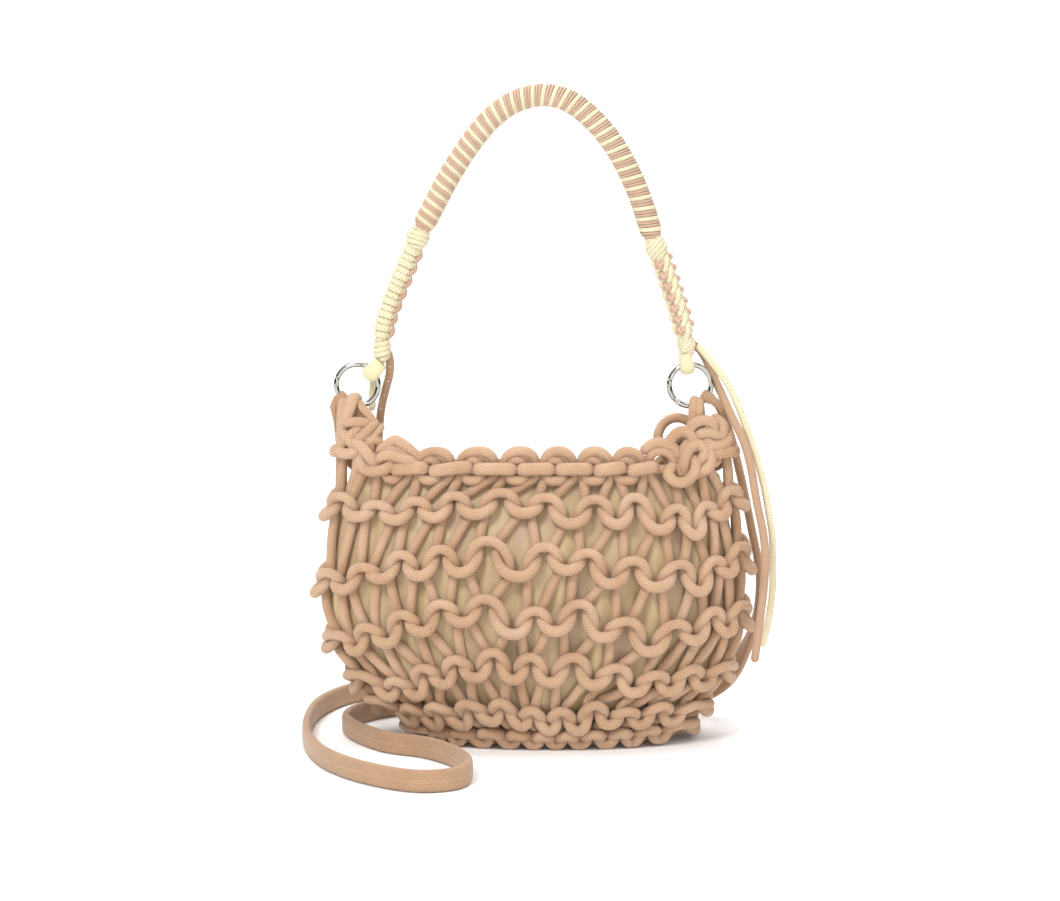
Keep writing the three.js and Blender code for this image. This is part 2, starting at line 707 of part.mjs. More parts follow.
function freeCord(line, diameter, stepLength) {
  const curve = curveThrough(line);
  const steps = Math.max(6, Math.round(curve.getLength() / stepLength));
  const radius = 0.5 * diameter;
  const { points, tangents } = stationsOf(curve, steps);
  return sweep(points, towardsBack, () => ellipseSection(radius, radius, 8), tangents);
}

// The flat strap: its width runs front to back where it hangs, and upright on the floor
function flatStrap() {
  const curve = curveThrough(strapLine);
  const steps = 50;
  const outline = (along) => {
    const folded = Math.min(along, 1 - along) < 0.5 / steps ? strapFold : 1;
    const edge = 0.5 * strapWidth * folded;
    const side = 0.5 * strapThickness;
    return [
      [edge, 0.45 * side], [0.7 * edge, side], [-0.7 * edge, side], [-edge, 0.45 * side],
      [-edge, -0.45 * side], [-0.7 * edge, -side], [0.7 * edge, -side], [edge, -0.45 * side],
    ];
  };
  const widthDirection = (along, travel, point) => {
    const hanging = smoothStep(strapWidth, 6 * strapWidth, point.z);
    return new THREE.Vector3(0, hanging, 1 - hanging);
  };
  const { points, tangents } = stationsOf(curve, steps);
  tangents[0].copy(outOfRing(strapLeftAngle));
  tangents[steps].copy(outOfRing(strapRightAngle)).negate();
  return sweep(points, widthDirection, outline, tangents);
}

addMesh('net_body', netBody(), palette.cord);
addMesh('rim_chain', rimChain(), palette.cord);
addMesh('inner_pouch', innerPouch(), palette.pouch);

// Angles around each ring, from its right side: the gate's hinge and its latch
const rings = [
  { side: 'left', ringX: ringLeftX, hinge: 68, latch: 160 },
  { side: 'right', ringX: ringRightX, hinge: 231, latch: 165 },
];
rings.forEach(({ side, ringX, hinge, latch }) => ringAndGate(side, ringX, hinge, latch));

const handleLoops = [
  { name: 'loop_left', ringX: ringLeftX, angle: loopLeftAngle },
  { name: 'loop_right', ringX: ringRightX, angle: loopRightAngle },
];
handleLoops.forEach(({ name, ringX, angle }) => {
  const loop = ringLoop(ringX, angle, loopWidth, loopThickness, loopLength);
  addMesh(name, loop, palette.cream);
});

// Each half of the handle, out from its ring, then the wound grip between them
const handleLength = handleCurve.getLength();
const alongFrom = {
  left: (from, to) => [from, to],
  right: (from, to) => [handleLength - to, handleLength - from],
};
const braided = (along, i) => braidDiameter * (i % 2 === 0 ? 0.9 : 1);
const wound = (along, i) => gripDiameter * (i % 2 === 0 ? 0.96 : 1);
handleHalves.forEach(({ side, knotEnd, braidEnd, collarEnd }) => {
  const place = alongFrom[side];
  const knot = handlePiece(...place(0, knotEnd), 5, 10, roundedEnds(knotDiameter));
  const braid = handlePiece(...place(knotEnd + gap, braidEnd), 12, 8, braided);
  const collar = handlePiece(...place(braidEnd + gap, collarEnd), 5, 10, roundedEnds(collarDiameter));
  addMesh(`wrap_lower_${side}`, knot, palette.cream);
  addMesh(`braid_${side}`, braid, palette.braid);
  addMesh(`wrap_upper_${side}`, collar, palette.cream);
});
const [leftCollarEnd, rightCollarEnd] = handleHalves.map(({ collarEnd }) => collarEnd);
const gripEnd = handleLength - rightCollarEnd - gap;
const grip = handlePiece(leftCollarEnd + gap, gripEnd, 32, 8, wound);
addMesh('handle_grip', grip, palette.braid);

const tabs = [
  { name: 'tab_left', ringX: ringLeftX, loopAngle: 253, footFrom: -10.5, footTo: 13.5 },
  { name: 'tab_right', ringX: ringRightX, loopAngle: 286, footFrom: -3.8, footTo: 14.2 },
];
tabs.forEach((tab) => addMesh(tab.name, bodyTab(tab), palette.cord));

const strapLoops = [
  { name: 'strap_loop_left', ringX: ringLeftX, angle: strapLeftAngle },
  { name: 'strap_loop_right', ringX: ringRightX, angle: strapRightAngle },
];
strapLoops.forEach(({ name, ringX, angle }) => {
  const loop = ringLoop(ringX, angle, strapLoopWidth, strapLoopThickness, strapLoopLength);
  addMesh(name, loop, palette.strap);
});

addMesh('tail_cream_right', freeCord(creamTailRight, creamTailDiameter, 14), palette.cream);
addMesh('tail_pink_right', freeCord(pinkTailRight, pinkTailDiameter, 15), palette.cord);
addMesh('tail_cream_left', freeCord(creamTailLeft, creamTailDiameter, 8), palette.cream);
addMesh('tail_pink_left', freeCord(pinkTailLeft, pinkTailDiameter, 10), palette.cord);
addMesh('strap', flatStrap(), palette.strap);

export default bag;
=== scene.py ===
"""A knitted cord shoulder bag: its yarn, cloth, handle, rings, strap and tails, in metres."""
import math

import bpy
import numpy as np
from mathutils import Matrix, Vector


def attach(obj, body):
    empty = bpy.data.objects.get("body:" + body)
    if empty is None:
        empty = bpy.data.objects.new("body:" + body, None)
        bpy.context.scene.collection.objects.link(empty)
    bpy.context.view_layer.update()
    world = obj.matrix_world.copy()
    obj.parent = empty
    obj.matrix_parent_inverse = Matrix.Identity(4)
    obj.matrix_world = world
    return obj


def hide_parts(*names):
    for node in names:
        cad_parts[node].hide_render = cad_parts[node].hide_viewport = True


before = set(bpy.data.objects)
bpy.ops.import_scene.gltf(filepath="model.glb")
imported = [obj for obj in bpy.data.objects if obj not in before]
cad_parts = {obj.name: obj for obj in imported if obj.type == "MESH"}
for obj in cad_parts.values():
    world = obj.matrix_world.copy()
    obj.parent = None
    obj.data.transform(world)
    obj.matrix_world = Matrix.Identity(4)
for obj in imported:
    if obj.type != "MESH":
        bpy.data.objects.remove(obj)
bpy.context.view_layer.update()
MM = 0.001
chance = np.random.default_rng(7)

# The photograph's camera
PHOTO_WIDTH = 1060
FOCAL_PIXELS = 2885
SENSOR_WIDTH = 36.0
CAMERA_PLACE = (-0.002, -2.0, 0.486)
CAMERA_PITCH = 8.0

# Body of the bag, in millimetres: the same values as the CAD part
BODY_WIDTH, BODY_DEPTH, NET_HEIGHT = 315.0, 124.0, 190.0
BODY_SECTIONS = (
    # height, width, depth and shift as shares
    (0.0, 0.571, 0.6, 0.083),
    (0.042, 0.664, 0.74, 0.089),
    (0.1, 0.746, 0.86, 0.057),
    (0.158, 0.819, 0.93, 0.038),
    (0.258, 0.908, 0.985, 0.019),
    (0.363, 0.971, 1.0, 0.013),
    (0.516, 1.0, 0.99, 0.003),
    (0.742, 0.981, 0.85, 0.01),
    (0.968, 0.937, 0.53, 0.01),
    (1.16, 0.895, 0.36, 0.005),
)
CORD = 7.7
YARN_INSET = 7.0
RIM_BAR_HEIGHT = 194.3
RIM_BACK_DROP = 5.0
CORNER_RISE = 10.0

# Stitches of each row as (share of the half width, height): heads, then the sinkers between.
# The rows run from the floor to the rim, and the back of the bag repeats the front.
STITCH_ROWS = (
    {
        "heads": ((-0.86, 15), (-0.74, 14), (-0.6, 14), (-0.4, 15), (-0.22, 14), (-0.06, 13),
                  (0.1, 13), (0.28, 13.5), (0.47, 14), (0.65, 15), (0.83, 16)),
        "sinkers": ((-0.8, 7.5), (-0.67, 7), (-0.5, 6.6), (-0.31, 6.2), (-0.14, 6), (0.02, 6),
                    (0.19, 6), (0.38, 6.2), (0.56, 6.6), (0.75, 7.5)),
        "ends": (9, 9),
    },
    {
        "heads": ((-0.87, 34), (-0.75, 31), (-0.594, 33.2), (-0.4, 36), (-0.21, 37.5), (-0.059, 32),
                  (0.11, 31.5), (0.299, 35.4), (0.487, 30), (0.669, 32.4), (0.863, 30)),
        "sinkers": ((-0.82, 19.5), (-0.68, 18.5), (-0.5, 20), (-0.3, 24), (-0.14, 21), (0.02, 17.5),
                    (0.196, 17), (0.386, 21), (0.581, 20), (0.77, 20)),
        "ends": (24, 22),
    },
    {
        "heads": ((-0.87, 52), (-0.71, 50.1), (-0.54, 60.5), (-0.379, 67.3), (-0.195, 72.9),
                  (-0.026, 69.7), (0.175, 69.5), (0.385, 61.6), (0.59, 55.5), (0.76, 57.9), (0.92, 57)),
        "sinkers": ((-0.8, 38), (-0.64, 40.3), (-0.467, 49.7), (-0.301, 54.9), (-0.117, 54),
                    (0.061, 52), (0.28, 50), (0.49, 43.5), (0.68, 42.8), (0.849, 44)),
        "ends": (38, 45),
    },
    {
        "heads": ((-0.9, 79), (-0.767, 86.8), (-0.598, 97.1), (-0.419, 105.2), (-0.223, 109.3),
                  (0.005, 101.5), (0.21, 106), (0.42, 93.6), (0.65, 90.2), (0.82, 97.4), (0.94, 98.7)),
        "sinkers": ((-0.85, 69), (-0.687, 76.6), (-0.515, 85.9), (-0.325, 93.3), (-0.094, 85.6),
                    (0.096, 87.7), (0.31, 83), (0.53, 72), (0.739, 78), (0.89, 81)),
        "ends": (66, 80),
    },
    {
        "heads": ((-0.937, 121.1), (-0.79, 127.4), (-0.619, 137.1), (-0.437, 141.5), (-0.229, 147.3),
                  (0.044, 143.6), (0.243, 139.5), (0.452, 134), (0.672, 130.5), (0.83, 132),
                  (0.945, 139.7)),
        "sinkers": ((-0.874, 110.7), (-0.7, 120.5), (-0.531, 123.4), (-0.343, 126.4), (-0.07, 124.3),
                    (0.145, 128.5), (0.345, 119), (0.553, 115.8), (0.755, 111.2), (0.895, 121.9)),
        "ends": (104, 120),
    },
    {
        "heads": ((-0.935, 173.7), (-0.763, 169.3), (-0.579, 172.3), (-0.395, 176.2), (-0.164, 178.5),
                  (0.05, 175.3), (0.29, 173.8), (0.48, 175), (0.68, 167.2), (0.82, 168.5), (0.945, 178)),
        "sinkers": ((-0.85, 160.6), (-0.66, 159.4), (-0.479, 161.5), (-0.29, 164), (-0.054, 165),
                    (0.165, 158), (0.388, 157.3), (0.587, 153.2), (0.75, 149), (0.884, 161)),
        "ends": (158, 165),
    },
)
# Heads of the last course, under and over the bound-off chain
RIM_HEADS = (-0.905, -0.7, -0.507, -0.29, -0.07, 0.12, 0.31, 0.478, 0.637, 0.79, 0.895)

# Half a stitch, from the bottom of a sinker to the top of the head above it. along is the share
# of the way from the head's middle to the sinker's, rise the share of the way up from sinker to
# head on the row named, and layer the distance in front of the middle of the yarn's wall.
# A leg's points are shares of the straight way between the points on either side. width is the
# share of the yarn's thickness: it is pulled thinner over the heads.
FOOT = (
    # where, along, rise, layer, width
    ("lower", 1.0, 0.0, 3.4, 1.05),
    ("lower", 0.745, 0.04, 3.8, 1.03),
    ("lower", 0.5, 0.2, 2.8, 1.0),
    ("lower", 0.34, 0.46, 0.1, 0.97),
    ("lower", 0.3, 0.74, -2.5, 0.94),
    ("lower", 0.33, 1.02, -3.8, 0.92),
)
HALF_STITCH = FOOT + (
    ("leg", 0.28, 0, -3.4, 0.93),
    ("leg", 0.72, 0, -3.4, 0.93),
    ("upper", 0.67, -0.04, -3.8, 0.92),
    ("upper", 0.7, 0.26, -2.5, 0.94),
    ("upper", 0.66, 0.54, -0.1, 0.94),
    ("upper", 0.5, 0.8, 2.7, 0.92),
    ("upper", 0.255, 0.96, 3.7, 0.89),
    ("upper", 0.0, 1.0, 3.4, 0.88),
)
YARN_STEP, YARN_SIDES = 0.0023, 12
HEAD_SHIFT, HEIGHT_SHIFT = 0.02, 1.5


def unit(vectors):
    return vectors / np.maximum(np.linalg.norm(vectors, axis=-1, keepdims=True), 1e-12)


def oval(sides, width=1.0, height=1.0):
    """Outline of an ellipse round the origin, from its half sizes."""
    angles = 2 * math.pi * np.arange(sides) / sides
    return np.stack([width * np.cos(angles), height * np.sin(angles)], -1)


def cubic(t, start, leaving, end, arriving):
    """Smooth curve between two values with the given slopes, at shares t of the way."""
    t2, t3 = t * t, t * t * t
    return ((2 * t3 - 3 * t2 + 1) * start + (t3 - 2 * t2 + t) * leaving
            + (3 * t2 - 2 * t3) * end + (t3 - t2) * arriving)


def smooth_step(low, high, value):
    t = np.clip((value - low) / (high - low), 0, 1)
    return t * t * (3 - 2 * t)


def section_at(share):
    """Width, depth and shift shares of the body at height shares, read smoothly."""
    rows = np.array(BODY_SECTIONS)
    share = np.asarray(share, float)
    low = np.clip(np.searchsorted(rows[:, 0], share) - 1, 0, len(rows) - 2)
    before, start = rows[np.maximum(low - 1, 0)], rows[low]
    end, after = rows[low + 1], rows[np.minimum(low + 2, len(rows) - 1)]
    span = end[..., :1] - start[..., :1]
    t = (share[..., None] - start[..., :1]) / span
    slope_in = (end - before) / np.maximum(end[..., :1] - before[..., :1], 1e-6)
    slope_out = (after - start) / np.maximum(after[..., :1] - start[..., :1], 1e-6)
    value = cubic(t, start, span * slope_in, end, span * slope_out)
    return value[..., 1], value[..., 2], value[..., 3]


def wall_point(theta, z, inset, end_inset=None):
    """A point of the body's wall in millimetres; theta 0 is the middle of the front."""
    width, depth, shift = section_at(np.asarray(z, float) / NET_HEIGHT)
    half_width = 0.5 * BODY_WIDTH * width - (inset if end_inset is None else end_inset)
    half_depth = 0.5 * BODY_DEPTH * depth - inset
    x = 0.5 * BODY_WIDTH * shift + half_width * np.sin(theta)
    return np.stack([x, -half_depth * np.cos(theta), np.broadcast_to(z, x.shape)], -1)


def wall_normal(theta, z, inset):
    turn, rise = 0.02, 1.0
    across = wall_point(theta + turn, z, inset) - wall_point(theta - turn, z, inset)
    up = wall_point(theta, z + rise, inset) - wall_point(theta, np.maximum(z - rise, 0), inset)
    return unit(np.cross(across, up))


def yarn_point(theta, z, layer):
    """Centre of the yarn: layer millimetres in front of the middle of the knitted wall."""
    theta, z = np.asarray(theta, float), np.asarray(z, float)
    layer = np.asarray(layer, float)
    place = wall_point(theta, z, YARN_INSET)
    place = place + layer[..., None] * wall_normal(theta, z, YARN_INSET)
    place[..., 2] = np.maximum(place[..., 2], 0.5 * CORD + 0.1)
    return place


# Curves and strands

def curve_through(points, closed=False, per_span=14):
    """Centripetal Catmull-Rom curve; columns after the third are carried along."""
    p = np.asarray(points, float)
    if closed:
        p = np.vstack([p[-1:], p, p[:2]])
    else:
        p = np.vstack([2 * p[:1] - p[1:2], p, 2 * p[-1:] - p[-2:-1]])
    gaps = np.maximum(np.linalg.norm(np.diff(p[:, :3], axis=0), axis=1) ** 0.5, 1e-6)
    a, b, c, d = p[:-3], p[1:-2], p[2:-1], p[3:]
    ga, gb, gc = gaps[:-2, None], gaps[1:-1, None], gaps[2:, None]
    slope_b = ((b - a) / ga - (c - a) / (ga + gb) + (c - b) / gb) * gb
    slope_c = ((c - b) / gb - (d - b) / (gb + gc) + (d - c) / gc) * gb
    t = np.linspace(0, 1, per_span, endpoint=False)[None, :, None]
    spans = cubic(t, *(v[:, None, :] for v in (b, slope_b, c, slope_c)))
    line = spans.reshape(-1, p.shape[1])
    return line if closed else np.vstack([line, p[-2:-1]])


def length_along(line, closed=False):
    steps = np.linalg.norm(np.diff(line[:, :3], axis=0), axis=1)
    if closed:
        steps = np.append(steps, np.linalg.norm(line[0, :3] - line[-1, :3]))
    return np.concatenate([[0], np.cumsum(steps)])


def even(line, step, closed=False):
    """The same line with its points about step apart."""
    if closed:
        line = np.vstack([line, line[:1]])
    at = length_along(line)
    count = max(4, int(round(at[-1] / step)))
    wanted = np.linspace(0, at[-1], count + 1)
    columns = [np.interp(wanted, at, line[:, k]) for k in range(line.shape[1])]
    result = np.stack(columns, -1)
    return result[:-1] if closed else result


def carried_frames(line, closed, hint=None):
    """Tangent and two cross axes at each point, turning as little as they can."""
    if closed:
        tangents = unit(np.roll(line, -1, 0) - np.roll(line, 1, 0))
    else:
        tangents = unit(np.gradient(line, axis=0))
    if hint is None:
        hint = (0.0, 0.0, 1.0) if abs(tangents[0][2]) < 0.9 else (0.0, 1.0, 0.0)
    first = np.array(hint, float)
    axes = []
    for tangent in tangents:
        first = first - tangent * first.dot(tangent)
        first = first / np.linalg.norm(first)
        axes.append(first)
    axes = np.array(axes)
    if closed:
        back = axes[-1] - tangents[0] * axes[-1].dot(tangents[0])
        back = back / np.linalg.norm(back)
        turn = math.atan2(np.cross(back, axes[0]).dot(tangents[0]), back.dot(axes[0]))
        angle = (np.arange(len(line)) / len(line) * turn)[:, None]
        axes = axes * np.cos(angle) + np.cross(tangents, axes) * np.sin(angle)
    return tangents, axes, np.cross(tangents, axes)


# A cord's rounded end: rings' distances past it and sizes, as shares of the radius
ROUND_TIP = np.array([[0.98, 0.15], [0.8, 0.58], [0.45, 0.88]])


def with_tips(line, radius, tangents, first, second, at):
    """A strand's rings, sizes, axes and lengths along, carried on into two rounded ends."""
    ahead = [line[-1] + tangents[-1] * radius[-1] * tip[0] for tip in ROUND_TIP[::-1]]
    behind = [line[0] - tangents[0] * radius[0] * tip[0] for tip in ROUND_TIP]
    start = -length_along(np.array(behind + [line[0]]))[::-1][:3]
    line = np.vstack([behind, line, ahead])
    first = np.vstack([first[:1]] * 3 + [first] + [first[-1:]] * 3)
    second = np.vstack([second[:1]] * 3 + [second] + [second[-1:]] * 3)
    widths = ROUND_TIP[:, 1]
    radius = np.concatenate([radius[0] * widths, radius, radius[-1] * widths[::-1]])
    return line, radius, first, second, np.concatenate([start, at, at[-1] - start[::-1]])


class Strands:
    """Tubes of cord gathered into one mesh, with UVs of metres along and turns around."""

    def __init__(self, sides=12):
        self.sides = sides
        self.vertices, self.quads, self.uvs, self.caps, self.cap_uvs = [], [], [], [], []
        self.count = 0

    def add(self, line, radius, closed=False, hint=None, outline=None, frames=None, rounded=True):
        """line in metres; radius one value or one a point; outline (sides, 2) in radii."""
        line = np.asarray(line, float)
        radius = np.broadcast_to(np.asarray(radius, float), (len(line),)).copy()
        tangents, first, second = frames or carried_frames(line, closed, hint)
        at = length_along(line, closed)
        if not closed and rounded:
            line, radius, first, second, at = with_tips(line, radius, tangents, first, second, at)
        outline = oval(self.sides) if outline is None else np.asarray(outline, float)
        sides = outline.shape[-2]
        if outline.ndim == 2:
            outline = np.broadcast_to(outline, (len(line),) + outline.shape)
        reach = outline * radius[:, None, None]
        rings = (line[:, None, :] + reach[..., :1] * first[:, None, :]
                 + reach[..., 1:] * second[:, None, :])
        count = len(line)
        rows = np.arange(count if closed else count - 1)
        i, j = np.meshgrid(rows, np.arange(sides), indexing="ij")
        nexti, nextj = (i + 1) % count, (j + 1) % sides
        corners = [(i, j), (i, nextj), (nexti, nextj), (nexti, j)]
        quads = np.stack([self.count + a * sides + b for a, b in corners], -1).reshape(-1, 4)
        u0, u1 = at[:-1][i] if closed else at[i], at[i + 1]
        v0, v1 = j / sides, (j + 1) / sides
        uv = np.stack([np.stack(pair, -1) for pair in ((u0, v0), (u0, v1), (u1, v1), (u1, v0))], 2)
        self.vertices.append(rings.reshape(-1, 3))
        self.quads.append(quads)
        self.uvs.append(uv.reshape(-1, 2))
        if not closed:
            ring = np.arange(sides)
            self.caps.append(list(self.count + ring[::-1]))
            self.caps.append(list(self.count + (count - 1) * sides + ring))
            self.cap_uvs.append(np.tile([at[0], 0.5], (sides, 1)))
            self.cap_uvs.append(np.tile([at[-1], 0.5], (sides, 1)))
        self.count += count * sides

    def lay(self, points, step, radius, closed=False, **shape):
        """A cord through points in millimetres, its rings about step apart."""
        line = even(curve_through(points, closed=closed), step, closed=closed)
        self.add(line * MM, radius * MM, closed=closed, **shape)

    def build(self, name, material, slot, node=None, body="bag"):
        """The piece that these cords make; it replaces the solid node where one is named."""
        vertices = np.vstack(self.vertices)
        faces = np.vstack(self.quads).tolist() + [[int(k) for k in cap] for cap in self.caps]
        uvs = np.vstack(self.uvs + self.cap_uvs)
        return mesh_piece(name, vertices, faces, uvs, material, node, body)


def mesh_piece(name, vertices, faces, uvs, material, node=None, body="bag"):
    mesh = bpy.data.meshes.new(name)
    mesh.from_pydata([tuple(v) for v in vertices], [], faces)
    if uvs is not None:
        layer = mesh.uv_layers.new(name="along")
        layer.data.foreach_set("uv", np.asarray(uvs, np.float32).ravel())
    mesh.polygons.foreach_set("use_smooth", [True] * len(mesh.polygons))
    mesh.materials.append(material)
    mesh.update()
    piece = bpy.data.objects.new(name, mesh)
    bpy.context.scene.collection.objects.link(piece)
    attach(piece, body)
    if node:
        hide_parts(node)
    return piece


# Materials

def new_material(name):
    material = bpy.data.materials.new(name)
    material.use_nodes = True
    return material, material.node_tree, material.node_tree.nodes["Principled BSDF"]


def math_node(tree, kind, *inputs):
    node = tree.nodes.new("ShaderNodeMath")
    node.operation = kind
    for socket, value in zip(node.inputs, inputs):
        if isinstance(value, (int, float)):
            socket.default_value = value
        else:
            tree.links.new(value, socket)
    return node.outputs[0]


def ramp(tree, factor, stops):
    node = tree.nodes.new("ShaderNodeValToRGB")
    elements = node.color_ramp.elements
    while len(elements) < len(stops):
        elements.new(0.5)
    for element, (place, colour) in zip(elements, stops):
        element.position = place
        element.color = (*colour, 1.0)
    tree.links.new(factor, node.inputs[0])
    return node.outputs[0]


def noise(tree, vector, scale, detail=2.0):
    node = tree.nodes.new("ShaderNodeTexNoise")
    node.inputs["Scale"].default_value = scale
    node.inputs["Detail"].default_value = detail
    tree.links.new(vector, node.inputs["Vector"])
    return node.outputs[0]


def add_bump(tree, shader, height, strength, distance):
    node = tree.nodes.new("ShaderNodeBump")
    node.inputs["Strength"].default_value = strength
    node.inputs["Distance"].default_value = distance
    tree.links.new(height, node.inputs["Height"])
    tree.links.new(node.outputs[0], shader.inputs["Normal"])


def braid_height(tree, pitch, around, join="MAXIMUM"):
    """Crossing strands of a braided cord, from the UVs: 0 between strands to 1 on them."""
    uv = tree.nodes.new("ShaderNodeUVMap")
    uv.uv_map = "along"
    parts = tree.nodes.new("ShaderNodeSeparateXYZ")
    tree.links.new(uv.outputs[0], parts.inputs[0])
    along = math_node(tree, "MULTIPLY", parts.outputs[0], 2 * math.pi / pitch)
    round_it = math_node(tree, "MULTIPLY", parts.outputs[1], 2 * math.pi * around)
    plus = math_node(tree, "SINE", math_node(tree, "ADD", along, round_it))
    minus = math_node(tree, "SINE", math_node(tree, "SUBTRACT", along, round_it))
    crossed = math_node(tree, join, plus, minus)
    return math_node(tree, "MULTIPLY_ADD", crossed, 0.5, 0.5)


# Shares of the braid's relief, of broad blotches and of fine grain in a cord's colour; the relief's share
# paints shade between the strands and light on their crowns
BRAID_SHADE_SHARE, BLOTCH_SHARE, GRAIN_SHARE = 0.42, 0.3, 0.28
BLOTCH_SCALE, GRAIN_SCALE, GRAIN_RELIEF = 45.0, 1900.0, 0.35
CORD_ROUGHNESS, CORD_SHEEN, SHEEN_ROUGHNESS = 0.85, 0.25, 0.5
FLECK_EDGE = 0.03


def add_flecks(tree, colour, fleck_colour, pitch, share):
    """Light threads that come up now and then, on the rare places above share."""
    thread = braid_height(tree, pitch, 1, "MINIMUM")
    chosen = ramp(tree, thread, ((share, (0, 0, 0)), (share + FLECK_EDGE, (1, 1, 1))))
    blend = tree.nodes.new("ShaderNodeMix")
    blend.data_type = "RGBA"
    tree.links.new(chosen, blend.inputs[0])
    tree.links.new(colour, blend.inputs[6])
    blend.inputs[7].default_value = (*fleck_colour, 1.0)
    return blend.outputs[2]


def cord_material(name, colours, pitch, around, bump, fleck=None):
    """Braided cord: colours by mottle and by height, which paints shade between the strands and light on
    their crowns; pitch and bump in metres.
    """
    material, tree, shader = new_material(name)
    height = braid_height(tree, pitch, around)
    place = tree.nodes.new("ShaderNodeTexCoord").outputs["Object"]
    blotch = noise(tree, place, BLOTCH_SCALE, 3.0)
    grain = noise(tree, place, GRAIN_SCALE)
    # Painted shade and light of the braid: darker between the strands, lighter on their crowns, mixed with
    # the cord's real blotches and grain
    shade_and_mottle = math_node(tree, "MULTIPLY", height, BRAID_SHADE_SHARE)
    shade_and_mottle = math_node(tree, "MULTIPLY_ADD", blotch, BLOTCH_SHARE, shade_and_mottle)
    shade_and_mottle = math_node(tree, "MULTIPLY_ADD", grain, GRAIN_SHARE, shade_and_mottle)
    colour = ramp(tree, shade_and_mottle, colours)
    if fleck:
        colour = add_flecks(tree, colour, *fleck)
    tree.links.new(colour, shader.inputs["Base Color"])
    shader.inputs["Roughness"].default_value = CORD_ROUGHNESS
    shader.inputs["Sheen Weight"].default_value = CORD_SHEEN
    shader.inputs["Sheen Roughness"].default_value = SHEEN_ROUGHNESS
    relief = math_node(tree, "MULTIPLY_ADD", grain, GRAIN_RELIEF, height)
    add_bump(tree, shader, relief, 1.0, bump)
    return material


# Size and upright stretch of the painted light and shade of the creases, and size of the weave
CREASE_SHADE_SCALE, CREASE_SHADE_STRETCH, WEAVE_SCALE = 55.0, (1.0, 1.0, 0.25), 2600.0
SATIN_ROUGHNESS, SATIN_SHEEN, WEAVE_BUMP = 0.48, 0.3, 0.00008


def cloth_material():
    """Satin with painted light and shade of soft upright creases."""
    material, tree, shader = new_material("pouch_satin")
    place = tree.nodes.new("ShaderNodeTexCoord").outputs["Object"]
    crease_shade_map = tree.nodes.new("ShaderNodeMapping")
    crease_shade_map.inputs["Scale"].default_value = CREASE_SHADE_STRETCH
    tree.links.new(place, crease_shade_map.inputs["Vector"])
    crease_shade = noise(tree, crease_shade_map.outputs[0], CREASE_SHADE_SCALE)
    # Lighter and darker upright streaks in the colour: painted light and shade of soft creases
    colour = ramp(tree, crease_shade, (
        (0.3, (0.43, 0.29, 0.2)), (0.45, (0.47, 0.34, 0.18)), (0.6, (0.54, 0.4, 0.22)),
        (0.75, (0.62, 0.48, 0.3))))
    tree.links.new(colour, shader.inputs["Base Color"])
    shader.inputs["Roughness"].default_value = SATIN_ROUGHNESS
    shader.inputs["Sheen Weight"].default_value = SATIN_SHEEN
    add_bump(tree, shader, noise(tree, place, WEAVE_SCALE), 0.5, WEAVE_BUMP)
    return material


# One mottle gives the nickel its wear in the roughness and paints reflections into its colour
WEAR_AND_REFLECTION_SCALE, POLISH, WEAR_ROUGHNESS = 260.0, 0.04, 0.08
EDGE_TINT = (0.18, 0.17, 0.15, 1.0)


def metal_material():
    """Bright nickel, a little worn in its roughness, with painted reflections mottling its colour."""
    material, tree, shader = new_material("nickel")
    place = tree.nodes.new("ShaderNodeTexCoord").outputs["Object"]
    wear_and_reflection = noise(tree, place, WEAR_AND_REFLECTION_SCALE, 4.0)
    # Lighter and darker patches of base colour: painted reflections, on the same mottle as the wear
    colour = ramp(tree, wear_and_reflection, (
        (0.35, (0.38, 0.37, 0.335)), (0.65, (0.47, 0.46, 0.42))))
    tree.links.new(colour, shader.inputs["Base Color"])
    rough = math_node(tree, "MULTIPLY_ADD", wear_and_reflection, WEAR_ROUGHNESS, POLISH)
    tree.links.new(rough, shader.inputs["Roughness"])
    shader.inputs["Metallic"].default_value = 1.0
    shader.inputs["Specular Tint"].default_value = EDGE_TINT
    return material


# In each cord's ramp the low stop is mostly painted shade between strands and the high stop painted light
# on their crowns
PINK = cord_material("cord_pink", (
    (0.3, (0.26, 0.115, 0.035)), (0.56, (0.49, 0.29, 0.16)), (0.8, (0.66, 0.475, 0.34))),
    0.0015, 11, 0.00022)
CREAM = cord_material("cord_cream", (
    (0.3, (0.56, 0.45, 0.22)), (0.58, (0.72, 0.64, 0.41)), (0.85, (0.88, 0.83, 0.66))),
    0.0019, 4, 0.0003)
CREAM_SMOOTH = cord_material("cord_cream_smooth", (
    (0.3, (0.6, 0.51, 0.27)), (0.6, (0.7, 0.62, 0.39)), (0.9, (0.76, 0.7, 0.49))),
    0.0016, 9, 0.00006)
PINK_FINE = cord_material("cord_pink_fine", (
    (0.3, (0.38, 0.225, 0.14)), (0.58, (0.53, 0.35, 0.245)), (0.85, (0.64, 0.46, 0.35))),
    0.0014, 4, 0.00012)
PINK_FLECKED = cord_material("cord_pink_flecked", (
    (0.3, (0.33, 0.19, 0.1)), (0.58, (0.46, 0.285, 0.175)), (0.85, (0.56, 0.38, 0.255))),
    0.0014, 9, 0.00016, fleck=((0.66, 0.53, 0.4), 0.011, 0.95))
STRAP = cord_material("strap_knit", (
    (0.3, (0.28, 0.15, 0.07)), (0.58, (0.42, 0.255, 0.145)), (0.85, (0.52, 0.34, 0.21))),
    0.0018, 16, 0.0002)
CLOTH = cloth_material()
METAL = metal_material()


# Camera

def make_camera():
    camera = bpy.data.cameras.new("photo_camera")
    camera.sensor_width = SENSOR_WIDTH
    camera.lens = FOCAL_PIXELS / PHOTO_WIDTH * SENSOR_WIDTH
    camera.clip_end = 50.0
    holder = bpy.data.objects.new("photo_camera", camera)
    holder.location = CAMERA_PLACE
    holder.rotation_euler = (math.radians(90 - CAMERA_PITCH), 0, 0)
    bpy.context.scene.collection.objects.link(holder)
    bpy.context.scene.camera = holder


make_camera()

